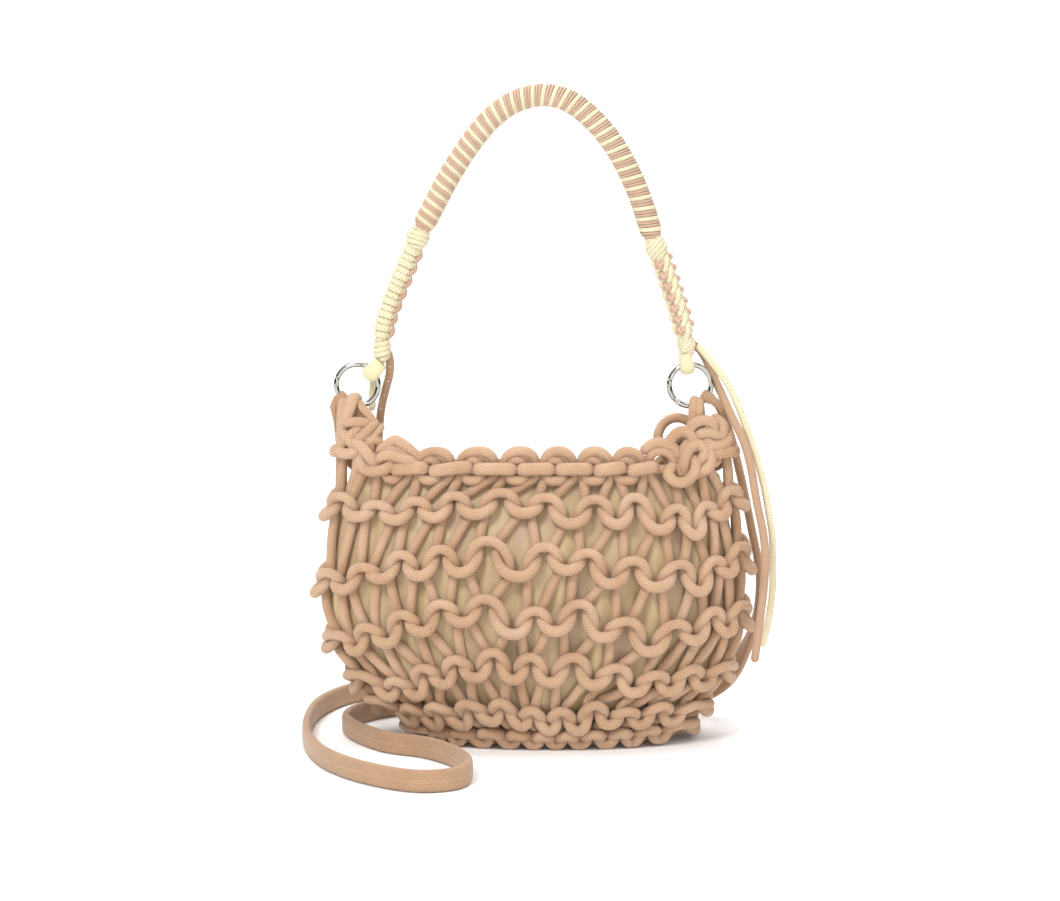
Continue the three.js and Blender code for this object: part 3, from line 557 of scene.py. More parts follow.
# Free cords: the same routes as the CAD part, in metres
CREAM_TAIL_RIGHT = (
    (0.1162, 0.002, 0.2772), (0.1198, 0.002, 0.273), (0.1263, 0.002, 0.265), (0.1333, 0.001, 0.256),
    (0.139, 0.0, 0.2465), (0.144, -0.001, 0.235), (0.1483, -0.003, 0.2233), (0.1524, -0.005, 0.212),
    (0.1577, -0.008, 0.195), (0.162, -0.01, 0.178), (0.1648, -0.011, 0.162), (0.1672, -0.011, 0.148),
    (0.168, -0.01, 0.134), (0.168, -0.009, 0.106), (0.165, -0.008, 0.082), (0.162, -0.007, 0.0686))
PINK_TAIL_RIGHT = (
    (0.1119, 0.0083, 0.279), (0.1175, 0.0096, 0.274), (0.1235, 0.0084, 0.263), (0.1285, 0.006, 0.252),
    (0.133, 0.001, 0.242), (0.138, -0.0045, 0.231), (0.143, -0.008, 0.221), (0.1476, -0.012, 0.21),
    (0.1518, -0.016, 0.194), (0.1555, -0.02, 0.172), (0.16, -0.024, 0.15), (0.1615, -0.026, 0.131),
    (0.1605, -0.027, 0.112), (0.158, -0.027, 0.088), (0.155, -0.026, 0.062))
CREAM_TAIL_LEFT = (
    (-0.1065, 0.0098, 0.2685), (-0.1086, 0.0106, 0.262), (-0.1115, 0.0112, 0.255),
    (-0.1124, 0.0116, 0.247), (-0.1128, 0.0118, 0.24), (-0.113, 0.012, 0.234))
PINK_TAIL_LEFT = (
    (-0.101, 0.0086, 0.272), (-0.1, 0.009, 0.267), (-0.1004, 0.0106, 0.258), (-0.103, 0.0134, 0.248),
    (-0.1056, 0.0166, 0.238), (-0.1075, 0.0205, 0.228), (-0.1086, 0.025, 0.218),
    (-0.1095, 0.0295, 0.208), (-0.11, 0.034, 0.198))
STRAP_LINE = (
    (-0.1372, 0.0, 0.2395), (-0.1386, 0.001, 0.2376), (-0.138, 0.005, 0.2315), (-0.1372, 0.0115, 0.2255),
    (-0.137, 0.0195, 0.2175), (-0.1365, 0.025, 0.203), (-0.138, 0.034, 0.165), (-0.14, 0.046, 0.1),
    (-0.132, 0.068, 0.045), (-0.114, 0.082, 0.022), (-0.097, 0.093, 0.0105), (-0.086, 0.104, 0.008),
    (-0.088, 0.118, 0.008), (-0.101, 0.125, 0.008), (-0.118, 0.119, 0.008), (-0.139, 0.098, 0.008),
    (-0.155, 0.06, 0.008), (-0.16, 0.01, 0.008), (-0.156, -0.045, 0.008), (-0.141, -0.093, 0.008),
    (-0.112, -0.133, 0.008), (-0.075, -0.156, 0.008), (-0.051, -0.149, 0.008), (-0.043, -0.125, 0.008),
    (-0.052, -0.092, 0.008), (-0.074, -0.064, 0.008), (-0.104, -0.046, 0.008), (-0.133, 0.008, 0.008),
    (-0.121, 0.044, 0.008), (-0.084, 0.071, 0.008), (0.02, 0.08, 0.008), (0.09, 0.073, 0.009),
    (0.134, 0.06, 0.024), (0.157, 0.045, 0.062), (0.163, 0.036, 0.104), (0.156, 0.038, 0.146),
    (0.1465, 0.03, 0.188), (0.1375, 0.014, 0.219), (0.1282, 0.001, 0.2384), (0.1253, 0.0, 0.24055))


TAIL_STEP = 0.0012
TAILS = (
    # piece, route, diameter in metres, material, slot and the solid it replaces
    ("cream_tail_right", CREAM_TAIL_RIGHT, 0.0051, CREAM, "cream", "tail_cream_right"),
    ("pink_tail_right", PINK_TAIL_RIGHT, 0.0059, PINK_FLECKED, "cord", "tail_pink_right"),
    ("cream_tail_left", CREAM_TAIL_LEFT, 0.0051, CREAM, "cream", "tail_cream_left"),
    ("pink_tail_left", PINK_TAIL_LEFT, 0.0059, PINK_FLECKED, "cord", "tail_pink_left"),
)


def free_tail(name, points, diameter, material, slot, node):
    line = even(curve_through(points), TAIL_STEP)
    strand = Strands(14)
    strand.add(line, 0.5 * diameter)
    piece = strand.build(name, material, slot, node)


for tail_row in TAILS:
    free_tail(*tail_row)

STRAP_WIDTH, STRAP_THICKNESS, STRAP_TUCK, STRAP_STEP = 0.015, 0.006, 0.0022, 0.003
# Below the first height the strap stands on its edge, and above the second its width runs
# front to back
STRAP_LYING, STRAP_HANGING = 0.015, 0.09
STRAP_END_SHARE, STRAP_END_LENGTH = 0.62, 0.018
GROOVE_DEPTH, GROOVE_WIDTH = 0.0014, 0.0011
# Exponents under 1 fill the ellipse's corners out, across and through the band
BAND_SIDES, BAND_ROUNDING, EDGE_ROUNDING = 32, 0.55, 0.6


def band_outline(width, thickness):
    """Rounded flat band, its faces grooved along the middle, as (sides, 2) half sizes."""
    half, side = 0.5 * width, 0.5 * thickness
    profile = []
    for k in range(BAND_SIDES):
        angle = 2 * math.pi * (k + 0.5) / BAND_SIDES
        c, s = math.cos(angle), math.sin(angle)
        u = math.copysign(abs(c) ** BAND_ROUNDING, c)
        v = math.copysign(abs(s) ** EDGE_ROUNDING, s)
        dent = GROOVE_DEPTH * math.exp(-((u * half / GROOVE_WIDTH) ** 2))
        profile.append((half * u, (side - dent) * v))
    return np.array(profile)


def make_strap():
    """The flat strap; its two ends run a little into the folded loops at the rings."""
    route = np.array(STRAP_LINE)
    start = route[0] - STRAP_TUCK * unit(route[1] - route[0])
    end = route[-1] + STRAP_TUCK * unit(route[-1] - route[-2])
    line = even(curve_through(np.vstack([start, route, end])), STRAP_STEP)
    tangents = unit(np.gradient(line, axis=0))
    hanging = smooth_step(STRAP_LYING, STRAP_HANGING, line[:, 2])[:, None]
    width_way = hanging * np.array([[0, 1.0, 0]]) + (1 - hanging) * np.array([[0, 0, 1.0]])
    width_way = unit(width_way - tangents * np.sum(width_way * tangents, 1, keepdims=True))
    frames = (tangents, width_way, np.cross(tangents, width_way))
    at = length_along(line)
    ends = np.minimum(at, at[-1] - at)
    narrow = STRAP_END_SHARE + (1 - STRAP_END_SHARE) * smooth_step(0.0, STRAP_END_LENGTH, ends)
    outline = band_outline(STRAP_WIDTH, STRAP_THICKNESS)
    outlines = np.repeat(outline[None], len(line), 0)
    outlines[..., 0] *= narrow[:, None]
    strand = Strands()
    strand.add(line, 1.0, outline=outlines, frames=frames, rounded=False)
    piece = strand.build("crossbody_strap", STRAP, "strap", "strap")


make_strap()


# Net

def round_the_back(places):
    """A row's places repeated along the back in order, each with a small random shift."""
    return [(math.pi - angle + chance.uniform(-HEAD_SHIFT, HEAD_SHIFT),
             height + chance.uniform(-HEIGHT_SHIFT, HEIGHT_SHIFT))
            for angle, height in reversed(places)]


def full_row(row):
    """All the heads and sinkers of one row round the bag, as angles and heights."""
    heads = [(math.asin(q), z) for q, z in row["heads"]]
    sinkers = [(math.asin(q), z) for q, z in row["sinkers"]]
    back_heads, back_sinkers = round_the_back(heads), round_the_back(sinkers)
    left_end, right_end = row["ends"]
    right = (0.5 * (heads[-1][0] + back_heads[0][0]), right_end)
    left = (0.5 * (back_heads[-1][0] + heads[0][0] + 2 * math.pi), left_end)
    return np.array(heads + back_heads), np.array(sinkers + [right] + back_sinkers + [left])


def place_of(places, column):
    """Angle and height of a row's place; columns past the last go on round the bag."""
    turns, column = divmod(column, len(places))
    angle, height = places[column]
    return angle + 2 * math.pi * turns, height


def row_point(heads, sinkers, column, side, along, rise):
    """Angle and height between a head and the sinker on its left (-1) or right (+1)."""
    head_angle, head_height = place_of(heads, column)
    sinker_angle, sinker_height = place_of(sinkers, column if side > 0 else column - 1)
    return (head_angle + along * (sinker_angle - head_angle),
            sinker_height + rise * (head_height - sinker_height))


def half_stitch(steps, place, column, side):
    """Angles, heights, layers and widths of half a stitch; place gives angle and height."""
    spots = [None if step[0] == "leg" else np.array(place(column, side, *step[:3])) for step in steps]
    legs = [k for k, step in enumerate(steps) if step[0] == "leg"]
    low, high = spots[legs[0] - 1], spots[legs[-1] + 1]
    for k in legs:
        spots[k] = low + steps[k][1] * (high - low)
    return [(*spot, *step[3:]) for spot, step in zip(spots, steps)]


def course(steps, count, place):
    """Control points of one closed course, with the yarn's width as their last column."""
    points = []
    for column in range(count):
        points += half_stitch(steps, place, column, -1)
        points += half_stitch(steps, place, column, 1)[::-1][1:-1]
    angle, height, layer, width = np.array(points).T
    return np.column_stack([yarn_point(angle, height, layer), width])


def add_yarn(strands, points):
    """A closed course of yarn through control points in millimetres and widths."""
    line = even(curve_through(points * MM, closed=True, per_span=8), YARN_STEP, closed=True)
    strands.add(line[:, :3], 0.5 * CORD * line[:, 3], closed=True)


def knit_course(lower, upper):
    rows = {"lower": lower, "upper": upper}

    def place(column, side, where, along, rise):
        return row_point(*rows[where], column, side, along, rise)

    return course(HALF_STITCH, len(lower[0]), place)


ROWS = [full_row(row) for row in STITCH_ROWS]
yarn = Strands(YARN_SIDES)
for lower, upper in zip(ROWS[:-1], ROWS[1:]):
    add_yarn(yarn, knit_course(lower, upper))


def rim_height(theta):
    """Height of the chain's bars: raised at both corners, a little lower along the back."""
    lift = CORNER_RISE * smooth_step(0.7, 0.86, np.abs(np.sin(theta)))
    return RIM_BAR_HEIGHT + lift - RIM_BACK_DROP * smooth_step(0.0, 0.5, -np.cos(theta))


rim_front = [math.asin(q) for q in RIM_HEADS]
RIM_ANGLES = np.array(rim_front + [math.pi - a for a in reversed(rim_front)])


def rim_joint(index):
    """Angle of a chain joint; an index past the last goes on round the mouth."""
    turns, index = divmod(index, len(RIM_ANGLES))
    return RIM_ANGLES[index] + 2 * math.pi * turns


def rim_angle(index, share=0.0):
    """Angle of a chain joint round the mouth, plus a share of the way to the next."""
    whole = math.floor(share)
    low, high = rim_joint(index + whole), rim_joint(index + whole + 1)
    return low + (share - whole) * (high - low)


# Last course: feet in the top row of heads, legs up to the rim, heads over the chain. On the
# rim, along is a share of the way to the next head and rise is in mm above the chain's bars.
LAST_COURSE = FOOT + (
    ("leg", 0.3, 0, -3.6, 0.95),
    ("leg", 0.7, 0, -3.4, 0.95),
    ("rim", 0.38, -4.0, -3.4, 0.93),
    ("rim", 0.38, 2.6, -2.4, 0.88),
    ("rim", 0.36, 7.4, -0.2, 0.84),
    ("rim", 0.22, 11.0, 1.6, 0.82),
    ("rim", 0.0, 12.2, 2.0, 0.82),
)


def last_course(top):
    def place(column, side, where, along, rise):
        if where == "lower":
            return row_point(*top, column, side, along, rise)
        angle = rim_angle(column, side * along)
        return angle, rim_height(angle) + rise

    return course(LAST_COURSE, len(top[0]), place)


add_yarn(yarn, last_course(ROWS[-1]))

# Lowest course: heads on the lowest row, its other ends gathered under the base.
BASE_COURSE = (
    # under: share of the way, inset under the base and height in mm; row: as for a stitch
    ("under", 1.0, 20.0, 4.0),
    ("under", 0.75, 17.0, 4.0),
    ("under", 0.62, 9.0, 4.2),
    ("row", 0.67, -0.4, -3.4),
    ("row", 0.69, 0.01, -3.6),
    ("row", 0.7, 0.26, -2.4),
    ("row", 0.665, 0.54, -0.1),
    ("row", 0.5, 0.8, 2.6),
    ("row", 0.255, 0.95, 3.5),
    ("row", 0.0, 1.0, 3.2),
)


def base_course(bottom):
    points = []
    for column in range(len(bottom[0])):
        for side in (-1, 1):
            steps = BASE_COURSE if side < 0 else BASE_COURSE[::-1][1:-1]
            for kind, along, value, other in steps:
                rise = value if kind == "row" else 0.0
                angle, height = row_point(*bottom, column, side, along, rise)
                if kind == "row":
                    place = yarn_point([angle], [height], [other])[0]
                else:
                    place = wall_point(np.array([angle]), np.array([1.0]), value)[0]
                    place[2] = other
                points.append([*place, 1.0])
    return np.array(points)


add_yarn(yarn, base_course(ROWS[0]))
yarn.build("net_yarn", PINK, "cord", "net_body")

# Oval rows of cord close the base; they wave a little, by these amounts across and up
BASE_ROW_INSETS, BASE_ROW_HEIGHT, BASE_WAVES = (18.0, 24.6, 31.2), 4.4, 40
BASE_WAVE_ACROSS, BASE_WAVE_UP = 0.8, 0.3
base = Strands(10)
for turn, inset in enumerate(BASE_ROW_INSETS):
    theta = np.linspace(0, 2 * math.pi, 120, endpoint=False)
    wave = np.sin(theta * BASE_WAVES + turn)
    place = wall_point(theta, np.full_like(theta, 1.0), inset + BASE_WAVE_ACROSS * wave)
    place[:, 2] = BASE_ROW_HEIGHT + BASE_WAVE_UP * wave
    base.add(even(place * MM, 0.0025, closed=True), 0.5 * CORD * MM, closed=True)
base.build("base_rows", PINK, "cord")

# Bound-off chain: flat bars in front of the legs, each ending where the next one starts, and
# behind each joint a small ring of cord that shows above and below the bars.
BAR_SHIFT, BAR_GAP, SHORTEST_BAR = -3.0, 3.5, 14.0
BAR_HALF_HEIGHT, BAR_FLATNESS = 4.4, 0.74
BAR_LAYERS = ((0.0, 2.4), (0.1, 4.4), (0.5, 5.0), (0.9, 4.6), (1.0, 3.0))
BAR_TILTS = {1: 1.6, 2: 3.2, 3: 0.0, 4: 0.4, 5: 0.2, 6: 2.0, 7: 2.6}
NO_BARS = (0, 8, 9)
JOINT_RING = (
    # mm along, rise, layer
    (-5.6, -3.2, -1.6), (-4.0, -6.6, -0.5), (0.0, -7.4, 0.0), (4.0, -6.6, -0.5), (5.6, -3.2, -1.6),
    (4.8, 1.6, -1.8), (3.3, 5.4, -0.8), (0.0, 6.7, 0.0), (-3.3, 5.4, -0.8), (-4.8, 1.6, -1.8),
)
JOINT_RING_RADIUS = 3.5


def rim_place(angle, rise, layer):
    return yarn_point([angle], [rim_height(angle) + rise], [layer])[0]


def rim_chain(strands):
    outline = oval(18, 1.0, BAR_FLATNESS)
    for joint in range(len(RIM_ANGLES)):
        if joint in NO_BARS:
            continue
        low, high = rim_angle(joint), rim_angle(joint + 1)
        ends = [rim_place(angle, 0, 4.0) for angle in (low, high)]
        span = max(float(np.linalg.norm(ends[1] - ends[0])), SHORTEST_BAR)
        turn = (high - low) / span
        tilt = BAR_TILTS.get(joint, chance.uniform(-1.0, 1.4))
        bar = []
        for share, layer in BAR_LAYERS:
            along = BAR_SHIFT + BAR_GAP + (span - 2 * BAR_GAP) * share
            bar.append(rim_place(low + turn * along, tilt * (share - 0.5), layer))
        strands.lay(bar, 1.2, BAR_HALF_HEIGHT, hint=(0, 0, 1), outline=outline)
        ring = [rim_place(low + turn * (BAR_SHIFT + along), rise, layer)
                for along, rise, layer in JOINT_RING]
        strands.lay(ring, 1.6, JOINT_RING_RADIUS, closed=True)


# Where the chain meets the two corners its cords are bigger and cross along the routes listed
CORNER_CORDS = (
    # x, height and layer on the front wall, in mm
    ((96.1, 195.3, 1), (93.2, 190, 4), (98.5, 184.7, 4.6), (105.7, 185.1, 4.6), (111, 190.5, 4.2),
     (112.4, 197.8, 3), (111, 201.6, 0)),
    ((105.2, 191.9, -1), (105.2, 200.6, 3), (108.1, 207.9, 4.5), (113.4, 210.4, 5), (118.2, 207, 4.5),
     (117.4, 201.6, 3), (114.8, 198.2, 0)),
    ((118.2, 211.3, 1), (122, 205.5, 3.5), (122.7, 197.8, 4), (119.2, 192.9, 3.5), (113.8, 190.4, 0)),
    ((92.1, 208.3, -1), (95.1, 213.3, 2), (98.5, 217.6, 3), (103.3, 219.6, 4), (108.1, 217.6, 4),
     (111, 213.3, 3.5), (112.9, 208.4, 1)),
    ((78.3, 207.9, -1), (83.1, 211.3, 1), (89.8, 211.8, 2), (96.6, 209.4, 1.5), (101.4, 203.6, -1)),
    ((106.6, 216.1, -1), (108.6, 220.6, 2), (111.9, 224.9, 4), (117.7, 226.7, 5), (123.5, 224.9, 4.5),
     (125.9, 219, 1)),
    ((113.4, 214.7, 1), (116.7, 218.1, 3.5), (122.5, 218.1, 4), (127.3, 216.2, 3), (130.7, 218.1, 1)),
    ((119.6, 213.3, 1), (124.4, 209.4, 4), (130.2, 209.4, 4.5), (134.5, 213.3, 4), (135, 219.1, 1)),
    ((127.3, 227.8, 1), (130.7, 224, 3), (131.2, 219.1, 3.5), (129.2, 212.2, 1)),
    ((-118.9, 203.6, 0), (-118.4, 196.8, 4), (-113.6, 192.4, 4.6), (-105.9, 192.4, 4.6), (-100.1, 194.8, 4),
     (-97.7, 197.8, 1.5)),
    ((-107.9, 199.6, 1), (-101.1, 203.1, 4.5), (-92.4, 201.6, 5), (-84.7, 199.2, 4.5), (-80.9, 195.8, 1)),
    ((-124.7, 213.3, 0), (-121.7, 211.3, 3.5), (-117.4, 208.4, 5.4), (-113.6, 203.6, 5.4),
     (-110.7, 197.7, 3), (-110, 194, 0)),
    ((-136.2, 209.9, 0), (-131.8, 204.5, 4), (-127, 203.6, 4.5), (-121.7, 205.5, 2)),
    ((-136.6, 208.4, -1), (-134.2, 216.2, 3), (-129.9, 216.7, 4), (-126.1, 212.3, 3), (-124.5, 207, 0)),
    ((-105.7, 207, 0), (-100, 211, 1.5), (-95.3, 213.5, 2), (-88, 209.5, 2.5), (-81, 203.6, 0)),
    ((-122, 201, 0), (-124, 191, -2.6), (-128.4, 179, -3.6), (-129, 173, -3.6)),
    ((94, 206, -4), (100, 213, -4.5), (107, 217, -4.5)),
)
CORNER_RADIUS, RIM_CORE_RADIUS, RIM_CORE_LAYER = 3.9, 3.3, -1.7


def front_place(x, height, layer):
    """A point on the bag's front wall below or above the rim, from its x and height."""
    width, _, shift = section_at(np.array([height / NET_HEIGHT]))
    share = (x - 0.5 * BODY_WIDTH * shift[0]) / (0.5 * BODY_WIDTH * width[0] - YARN_INSET)
    return yarn_point([math.asin(float(np.clip(share, -0.99, 0.99)))], [height], [layer])[0]


def corner_cords(strands):
    for route in CORNER_CORDS:
        strands.lay([front_place(*spot) for spot in route], 1.4, CORNER_RADIUS)


def rim_core(strands):
    """A hidden cord behind the bars, so that no light comes through between them."""
    angles = np.linspace(0, 2 * math.pi, 60, endpoint=False)
    points = [rim_place(angle, 0.0, RIM_CORE_LAYER) for angle in angles]
    strands.add(even(np.array(points), 3.0, closed=True) * MM, RIM_CORE_RADIUS * MM, closed=True)


rim = Strands(12)
rim_chain(rim)
rim_core(rim)
corner_cords(rim)
rim.build("rim_chain_cord", PINK, "cord", "rim_chain")


# Pouch

POUCH_TURNS, POUCH_LEVELS = 440, 90
POUCH_TOP, POUCH_FLOOR, POUCH_WALL, POUCH_INSET = 188.0, 8.6, 1.4, 15.0
POUCH_BULGE, POUCH_SIDE_ROOM, FOLDS_ROUND, LIP_RISE = 1.6, 3.0, 22, 0.7
BASE_TUCK, MOUTH_TUCK = 7.0, 1.2


def pouch_points():
    """Outer and inner grids of the pouch's wall, rows from its floor up, in millimetres."""
    theta = np.linspace(0, 2 * math.pi, POUCH_TURNS, endpoint=False)
    turn, share = np.meshgrid(theta, np.linspace(0, 1, POUCH_LEVELS))
    z = POUCH_FLOOR + (POUCH_TOP - POUCH_FLOOR) * share
    around = turn * FOLDS_ROUND
    slack = np.sin(math.pi * np.clip(share + 0.06, 0.1, 0.94))
    folds = (1.1 * np.sin(around + 1.3 * np.sin(2 * turn + 5 * share))
             + 0.8 * np.sin(around * 1.73 + 3.1 * share + 0.7)
             + 0.6 * np.sin(around * 2.9 - 4.2 * share + 2.0)
             + 0.5 * np.sin(around * 0.61 + 7.5 * share))
    tuck = BASE_TUCK * (1 - smooth_step(0.0, 0.16, share)) + MOUTH_TUCK * smooth_step(0.93, 1.0, share)
    inset = POUCH_INSET + tuck - (POUCH_BULGE + folds * slack)
    outside = wall_point(turn, z, inset, inset + POUCH_SIDE_ROOM)
    inset = inset + POUCH_WALL
    inside = wall_point(turn, z + POUCH_WALL * (1 - share), inset, inset + POUCH_SIDE_ROOM)
    return outside, inside


def make_pouch():
    """One closed wall: both grids, joined over the lip and each closed by a floor."""
    turns, levels = POUCH_TURNS, POUCH_LEVELS
    outside, inside = pouch_points()
    lip_line = 0.5 * (outside[-1] + inside[-1]) + np.array([0, 0, LIP_RISE])
    vertices = np.vstack([outside.reshape(-1, 3), inside.reshape(-1, 3), lip_line,
                          [outside[0].mean(0)], [inside[0].mean(0)]])
    faces = []
    inner = turns * levels
    lip = 2 * inner
    edge = (levels - 1) * turns
    floor_out, floor_in = lip + turns, lip + turns + 1
    for k in range(turns):
        n = (k + 1) % turns
        for level in range(levels - 1):
            a, b = level * turns, (level + 1) * turns
            faces.append((a + k, a + n, b + n, b + k))
            faces.append((inner + a + n, inner + a + k, inner + b + k, inner + b + n))
        faces.append((edge + k, edge + n, lip + n, lip + k))
        faces.append((lip + k, lip + n, inner + edge + n, inner + edge + k))
        faces.append((n, k, floor_out))
        faces.append((inner + k, inner + n, floor_in))
    mesh_piece("pouch_cloth", vertices * MM, faces, None, CLOTH, "inner_pouch")


make_pouch()

# Handle, in the plane of the rings: the same line as the CAD part, in millimetres
RING_HEIGHT, RING_RADIUS, RING_WIRE = 251.0, 14.6, 3.8
RING_LEFT_X, RING_RIGHT_X = -122.5, 109.8
LOOP_LEFT_ANGLE, LOOP_RIGHT_ANGLE = 42.0, 100.0
LOOP_LENGTH, GAP = 4.4, 0.3


def on_ring(ring_x, angle, outwards=0.0):
    turn = math.radians(angle)
    reach = RING_RADIUS + outwards
    return (ring_x + reach * math.cos(turn), 0.0, RING_HEIGHT + reach * math.sin(turn))


HANDLE_LINE = (
    on_ring(RING_LEFT_X, LOOP_LEFT_ANGLE, LOOP_LENGTH + GAP), on_ring(RING_LEFT_X, LOOP_LEFT_ANGLE, 7.0),
    (-105.3, 0, 269), (-105.2, 0, 278.5), (-103.6, 0, 293), (-98.3, 0, 310), (-90.8, 0, 328),
    (-81, 0, 351.2), (-64.2, 0, 384.4), (-53.8, 0, 402.9), (-42.7, 0, 419.4), (-29.6, 0, 435.2),
    (-12.3, 0, 447.5), (8.3, 0, 452), (25.5, 0, 447.5), (40, 0, 436.6), (53.9, 0, 420.8),
    (65.7, 0, 400.9), (74.8, 0, 380.2), (84.6, 0, 349.8), (95.2, 0, 320.6), (101.8, 0, 300),
    (106, 0, 283.5), (107.3, 0, 275.5),
    on_ring(RING_RIGHT_X, LOOP_RIGHT_ANGLE, LOOP_LENGTH + 1.8),
    on_ring(RING_RIGHT_X, LOOP_RIGHT_ANGLE, LOOP_LENGTH + GAP),
)
# Where the knot starts and each piece ends along the handle, from its own ring, in millimetres
HANDLE_HALVES = {
    "left": {"knot_from": 5.4, "knot": 22.0, "braid": 88.5, "collar": 102.5},
    "right": {"knot_from": 3.0, "knot": 16.5, "braid": 73.0, "collar": 87.5},
}
handle = curve_through(HANDLE_LINE, per_span=60)
handle_at = length_along(handle)
HANDLE_LENGTH = handle_at[-1]


def handle_centre(along):
    return np.stack([np.interp(along, handle_at, handle[:, k]) for k in range(3)], -1)


def on_handle(along, azimuth, radius):
    """A point on the handle: along from the left ring, azimuth 0 in front and 90 outwards."""
    along = np.asarray(along, float)
    centre = handle_centre(along)
    way = unit(handle_centre(along + 0.5) - handle_centre(along - 0.5))
    front = np.array([0.0, -1.0, 0.0])
    outwards = np.cross(way, np.broadcast_to(front, way.shape))
    azimuth, radius = np.asarray(azimuth, float)[..., None], np.asarray(radius, float)[..., None]
    return centre + radius * (np.cos(azimuth) * front + np.sin(azimuth) * outwards)


# A wound cord: rings a turn, and how deep and over what share of a turn its ends tuck in
TURN_RINGS, TUCK_DEPTH, TUCK_TURN = 26, 1.5, 0.6


def helix(strand, start, end, pitch, phase, centre_radius, cord_radius, hand=1, stretch=0.0):
    """A cord wound on the handle; pitch is one turn's advance, longer on by the share stretch."""
    turns = (end - start) / pitch
    t = np.linspace(0, 1, int(abs(turns) * TURN_RINGS) + 2)
    along = start + (end - start) * (t + stretch * (t * t - t))
    azimuth = phase + hand * 2 * math.pi * turns * t
    tucked = 1 - smooth_step(0, TUCK_TURN / max(abs(turns), 1), np.minimum(t, 1 - t))
    tuck = TUCK_DEPTH * tucked
    line = on_handle(along, azimuth, centre_radius - tuck) * MM
    strand.add(line, cord_radius * MM)


def stitch(strand, from_along, to_along, from_azimuth, to_azimuth, surface, cord_radius, sink):
    """A short length of cord over the handle's surface, both ends tucked in."""
    t = np.linspace(0, 1, 15)
    along = from_along + (to_along - from_along) * t
    azimuth = np.radians(from_azimuth + (to_azimuth - from_azimuth) * t)
    lift = np.sin(math.pi * t) ** 0.6
    line = on_handle(along, azimuth, surface - sink * (1 - lift))
    strand.lay(line, 0.5, cord_radius)


def core(strand, start, end, radius):
    start, end = min(start, end), max(start, end)
    line = on_handle(np.linspace(start, end, int((end - start) / 2) + 2), 0.0, 0.0) * MM
    strand.add(line, radius * MM)


# Grip: a pink and a cream cord wound side by side over the core
GRIP_START = HANDLE_HALVES["left"]["collar"] + GAP
GRIP_END = HANDLE_LENGTH - HANDLE_HALVES["right"]["collar"] - GAP
GRIP_PITCH, GRIP_STRETCH, GRIP_CORE, GRIP_CORE_END = 7.15, 0.07, 6.0, 2
WIND_END = 1.2
GRIP_CORDS = (
    # colour, share of a turn from the first cord, centre and cord radius
    ("pink", 0.0, 7.1, 1.0),
    ("pink", 0.27, 7.1, 1.0),
    ("cream", 0.635, 6.7, 1.7),
)


def make_grip():
    cords = {"pink": Strands(8), "cream": Strands(8)}
    for colour, share, centre_radius, cord_radius in GRIP_CORDS:
        helix(cords[colour], GRIP_START + WIND_END, GRIP_END - WIND_END, GRIP_PITCH,
              2 * math.pi * share, centre_radius, cord_radius, -1, GRIP_STRETCH)
    cords["pink"].build("grip_pink", PINK_FINE, "braid", "handle_grip")
    cords["cream"].build("grip_cream", CREAM, "cream")
    core_strand = Strands(16)
    core(core_strand, GRIP_START + GRIP_CORE_END, GRIP_END - GRIP_CORE_END, GRIP_CORE)
    core_strand.build("grip_core", PINK_FINE, "braid")


make_grip()

# Knots and collars: slanting parallel turns, wound steeper on the right
WRAPS = (
    # side, name, node, from, to, outer radius, cord radius, how many cords, spacing
    ("left", "knot", "wrap_lower", "knot_from", "knot", 6.6, 1.95, 2, 3.6),
    ("right", "knot", "wrap_lower", "knot_from", "knot", 6.9, 1.6, 7, 3.0),
    ("left", "collar", "wrap_upper", "braid", "collar", 8.3, 1.75, 2, 3.1),
    ("right", "collar", "wrap_upper", "braid", "collar", 8.3, 1.6, 6, 3.1),
)
WRAP_CORE_END, WRAP_CORE_SINK = 0.5, 1.6
# A unit of the braid: short cords over its surface, on one side or repeated on the far side
BRAID_UNITS, BRAID_CORE, BRAID_CORE_END = 7, 4.2, 1
BRAID_STITCHES = {
    # cord, from and to as shares of a unit, azimuths, surface, cord radius, sink, sides
    "left": (
        ("cream", 0.24, 0.18, -112, 52, 5.5, 2.6, 2.4, 2),
        ("cream", -0.26, -0.34, -112, 52, 4.8, 2.5, 2.4, 2),
        ("pink", 0.36, -0.36, 106, 74, 5.8, 2.9, 2.8, 1),
    ),
    "right": (
        ("pink", 0.1, -0.1, 52, -8, 5.1, 3.1, 3.0, 2),
        ("pink", 0.45, 0.22, -66, -118, 6.2, 2.8, 3.0, 1),
        ("cream", -0.66, 0.62, -4, -60, 5.6, 2.2, 2.0, 2),
        ("cream", 0.3, 0.1, 132, 44, 5.4, 2.4, 2.4, 2),
        ("cream", -0.22, -0.4, 132, 44, 4.7, 2.2, 2.4, 2),
    ),
}


def side_along(side, distance):
    """Distance along the whole handle of a place measured from its own side's ring."""
    return distance if side == "left" else HANDLE_LENGTH - distance


def make_wraps():
    for side, name, node, start, end, radius, cord_radius, cords, spacing in WRAPS:
        half = HANDLE_HALVES[side]
        low, high = sorted(side_along(side, distance) for distance in (half[start], half[end]))
        strand = Strands(10)
        for k in range(cords):
            helix(strand, low + WIND_END, high - WIND_END, spacing * cords,
                  2 * math.pi * k / cords, radius - cord_radius, cord_radius)
        core(strand, low + WRAP_CORE_END, high - WRAP_CORE_END, radius - WRAP_CORE_SINK * cord_radius)
        strand.build(f"{name}_{side}", CREAM, "cream", f"{node}_{side}")


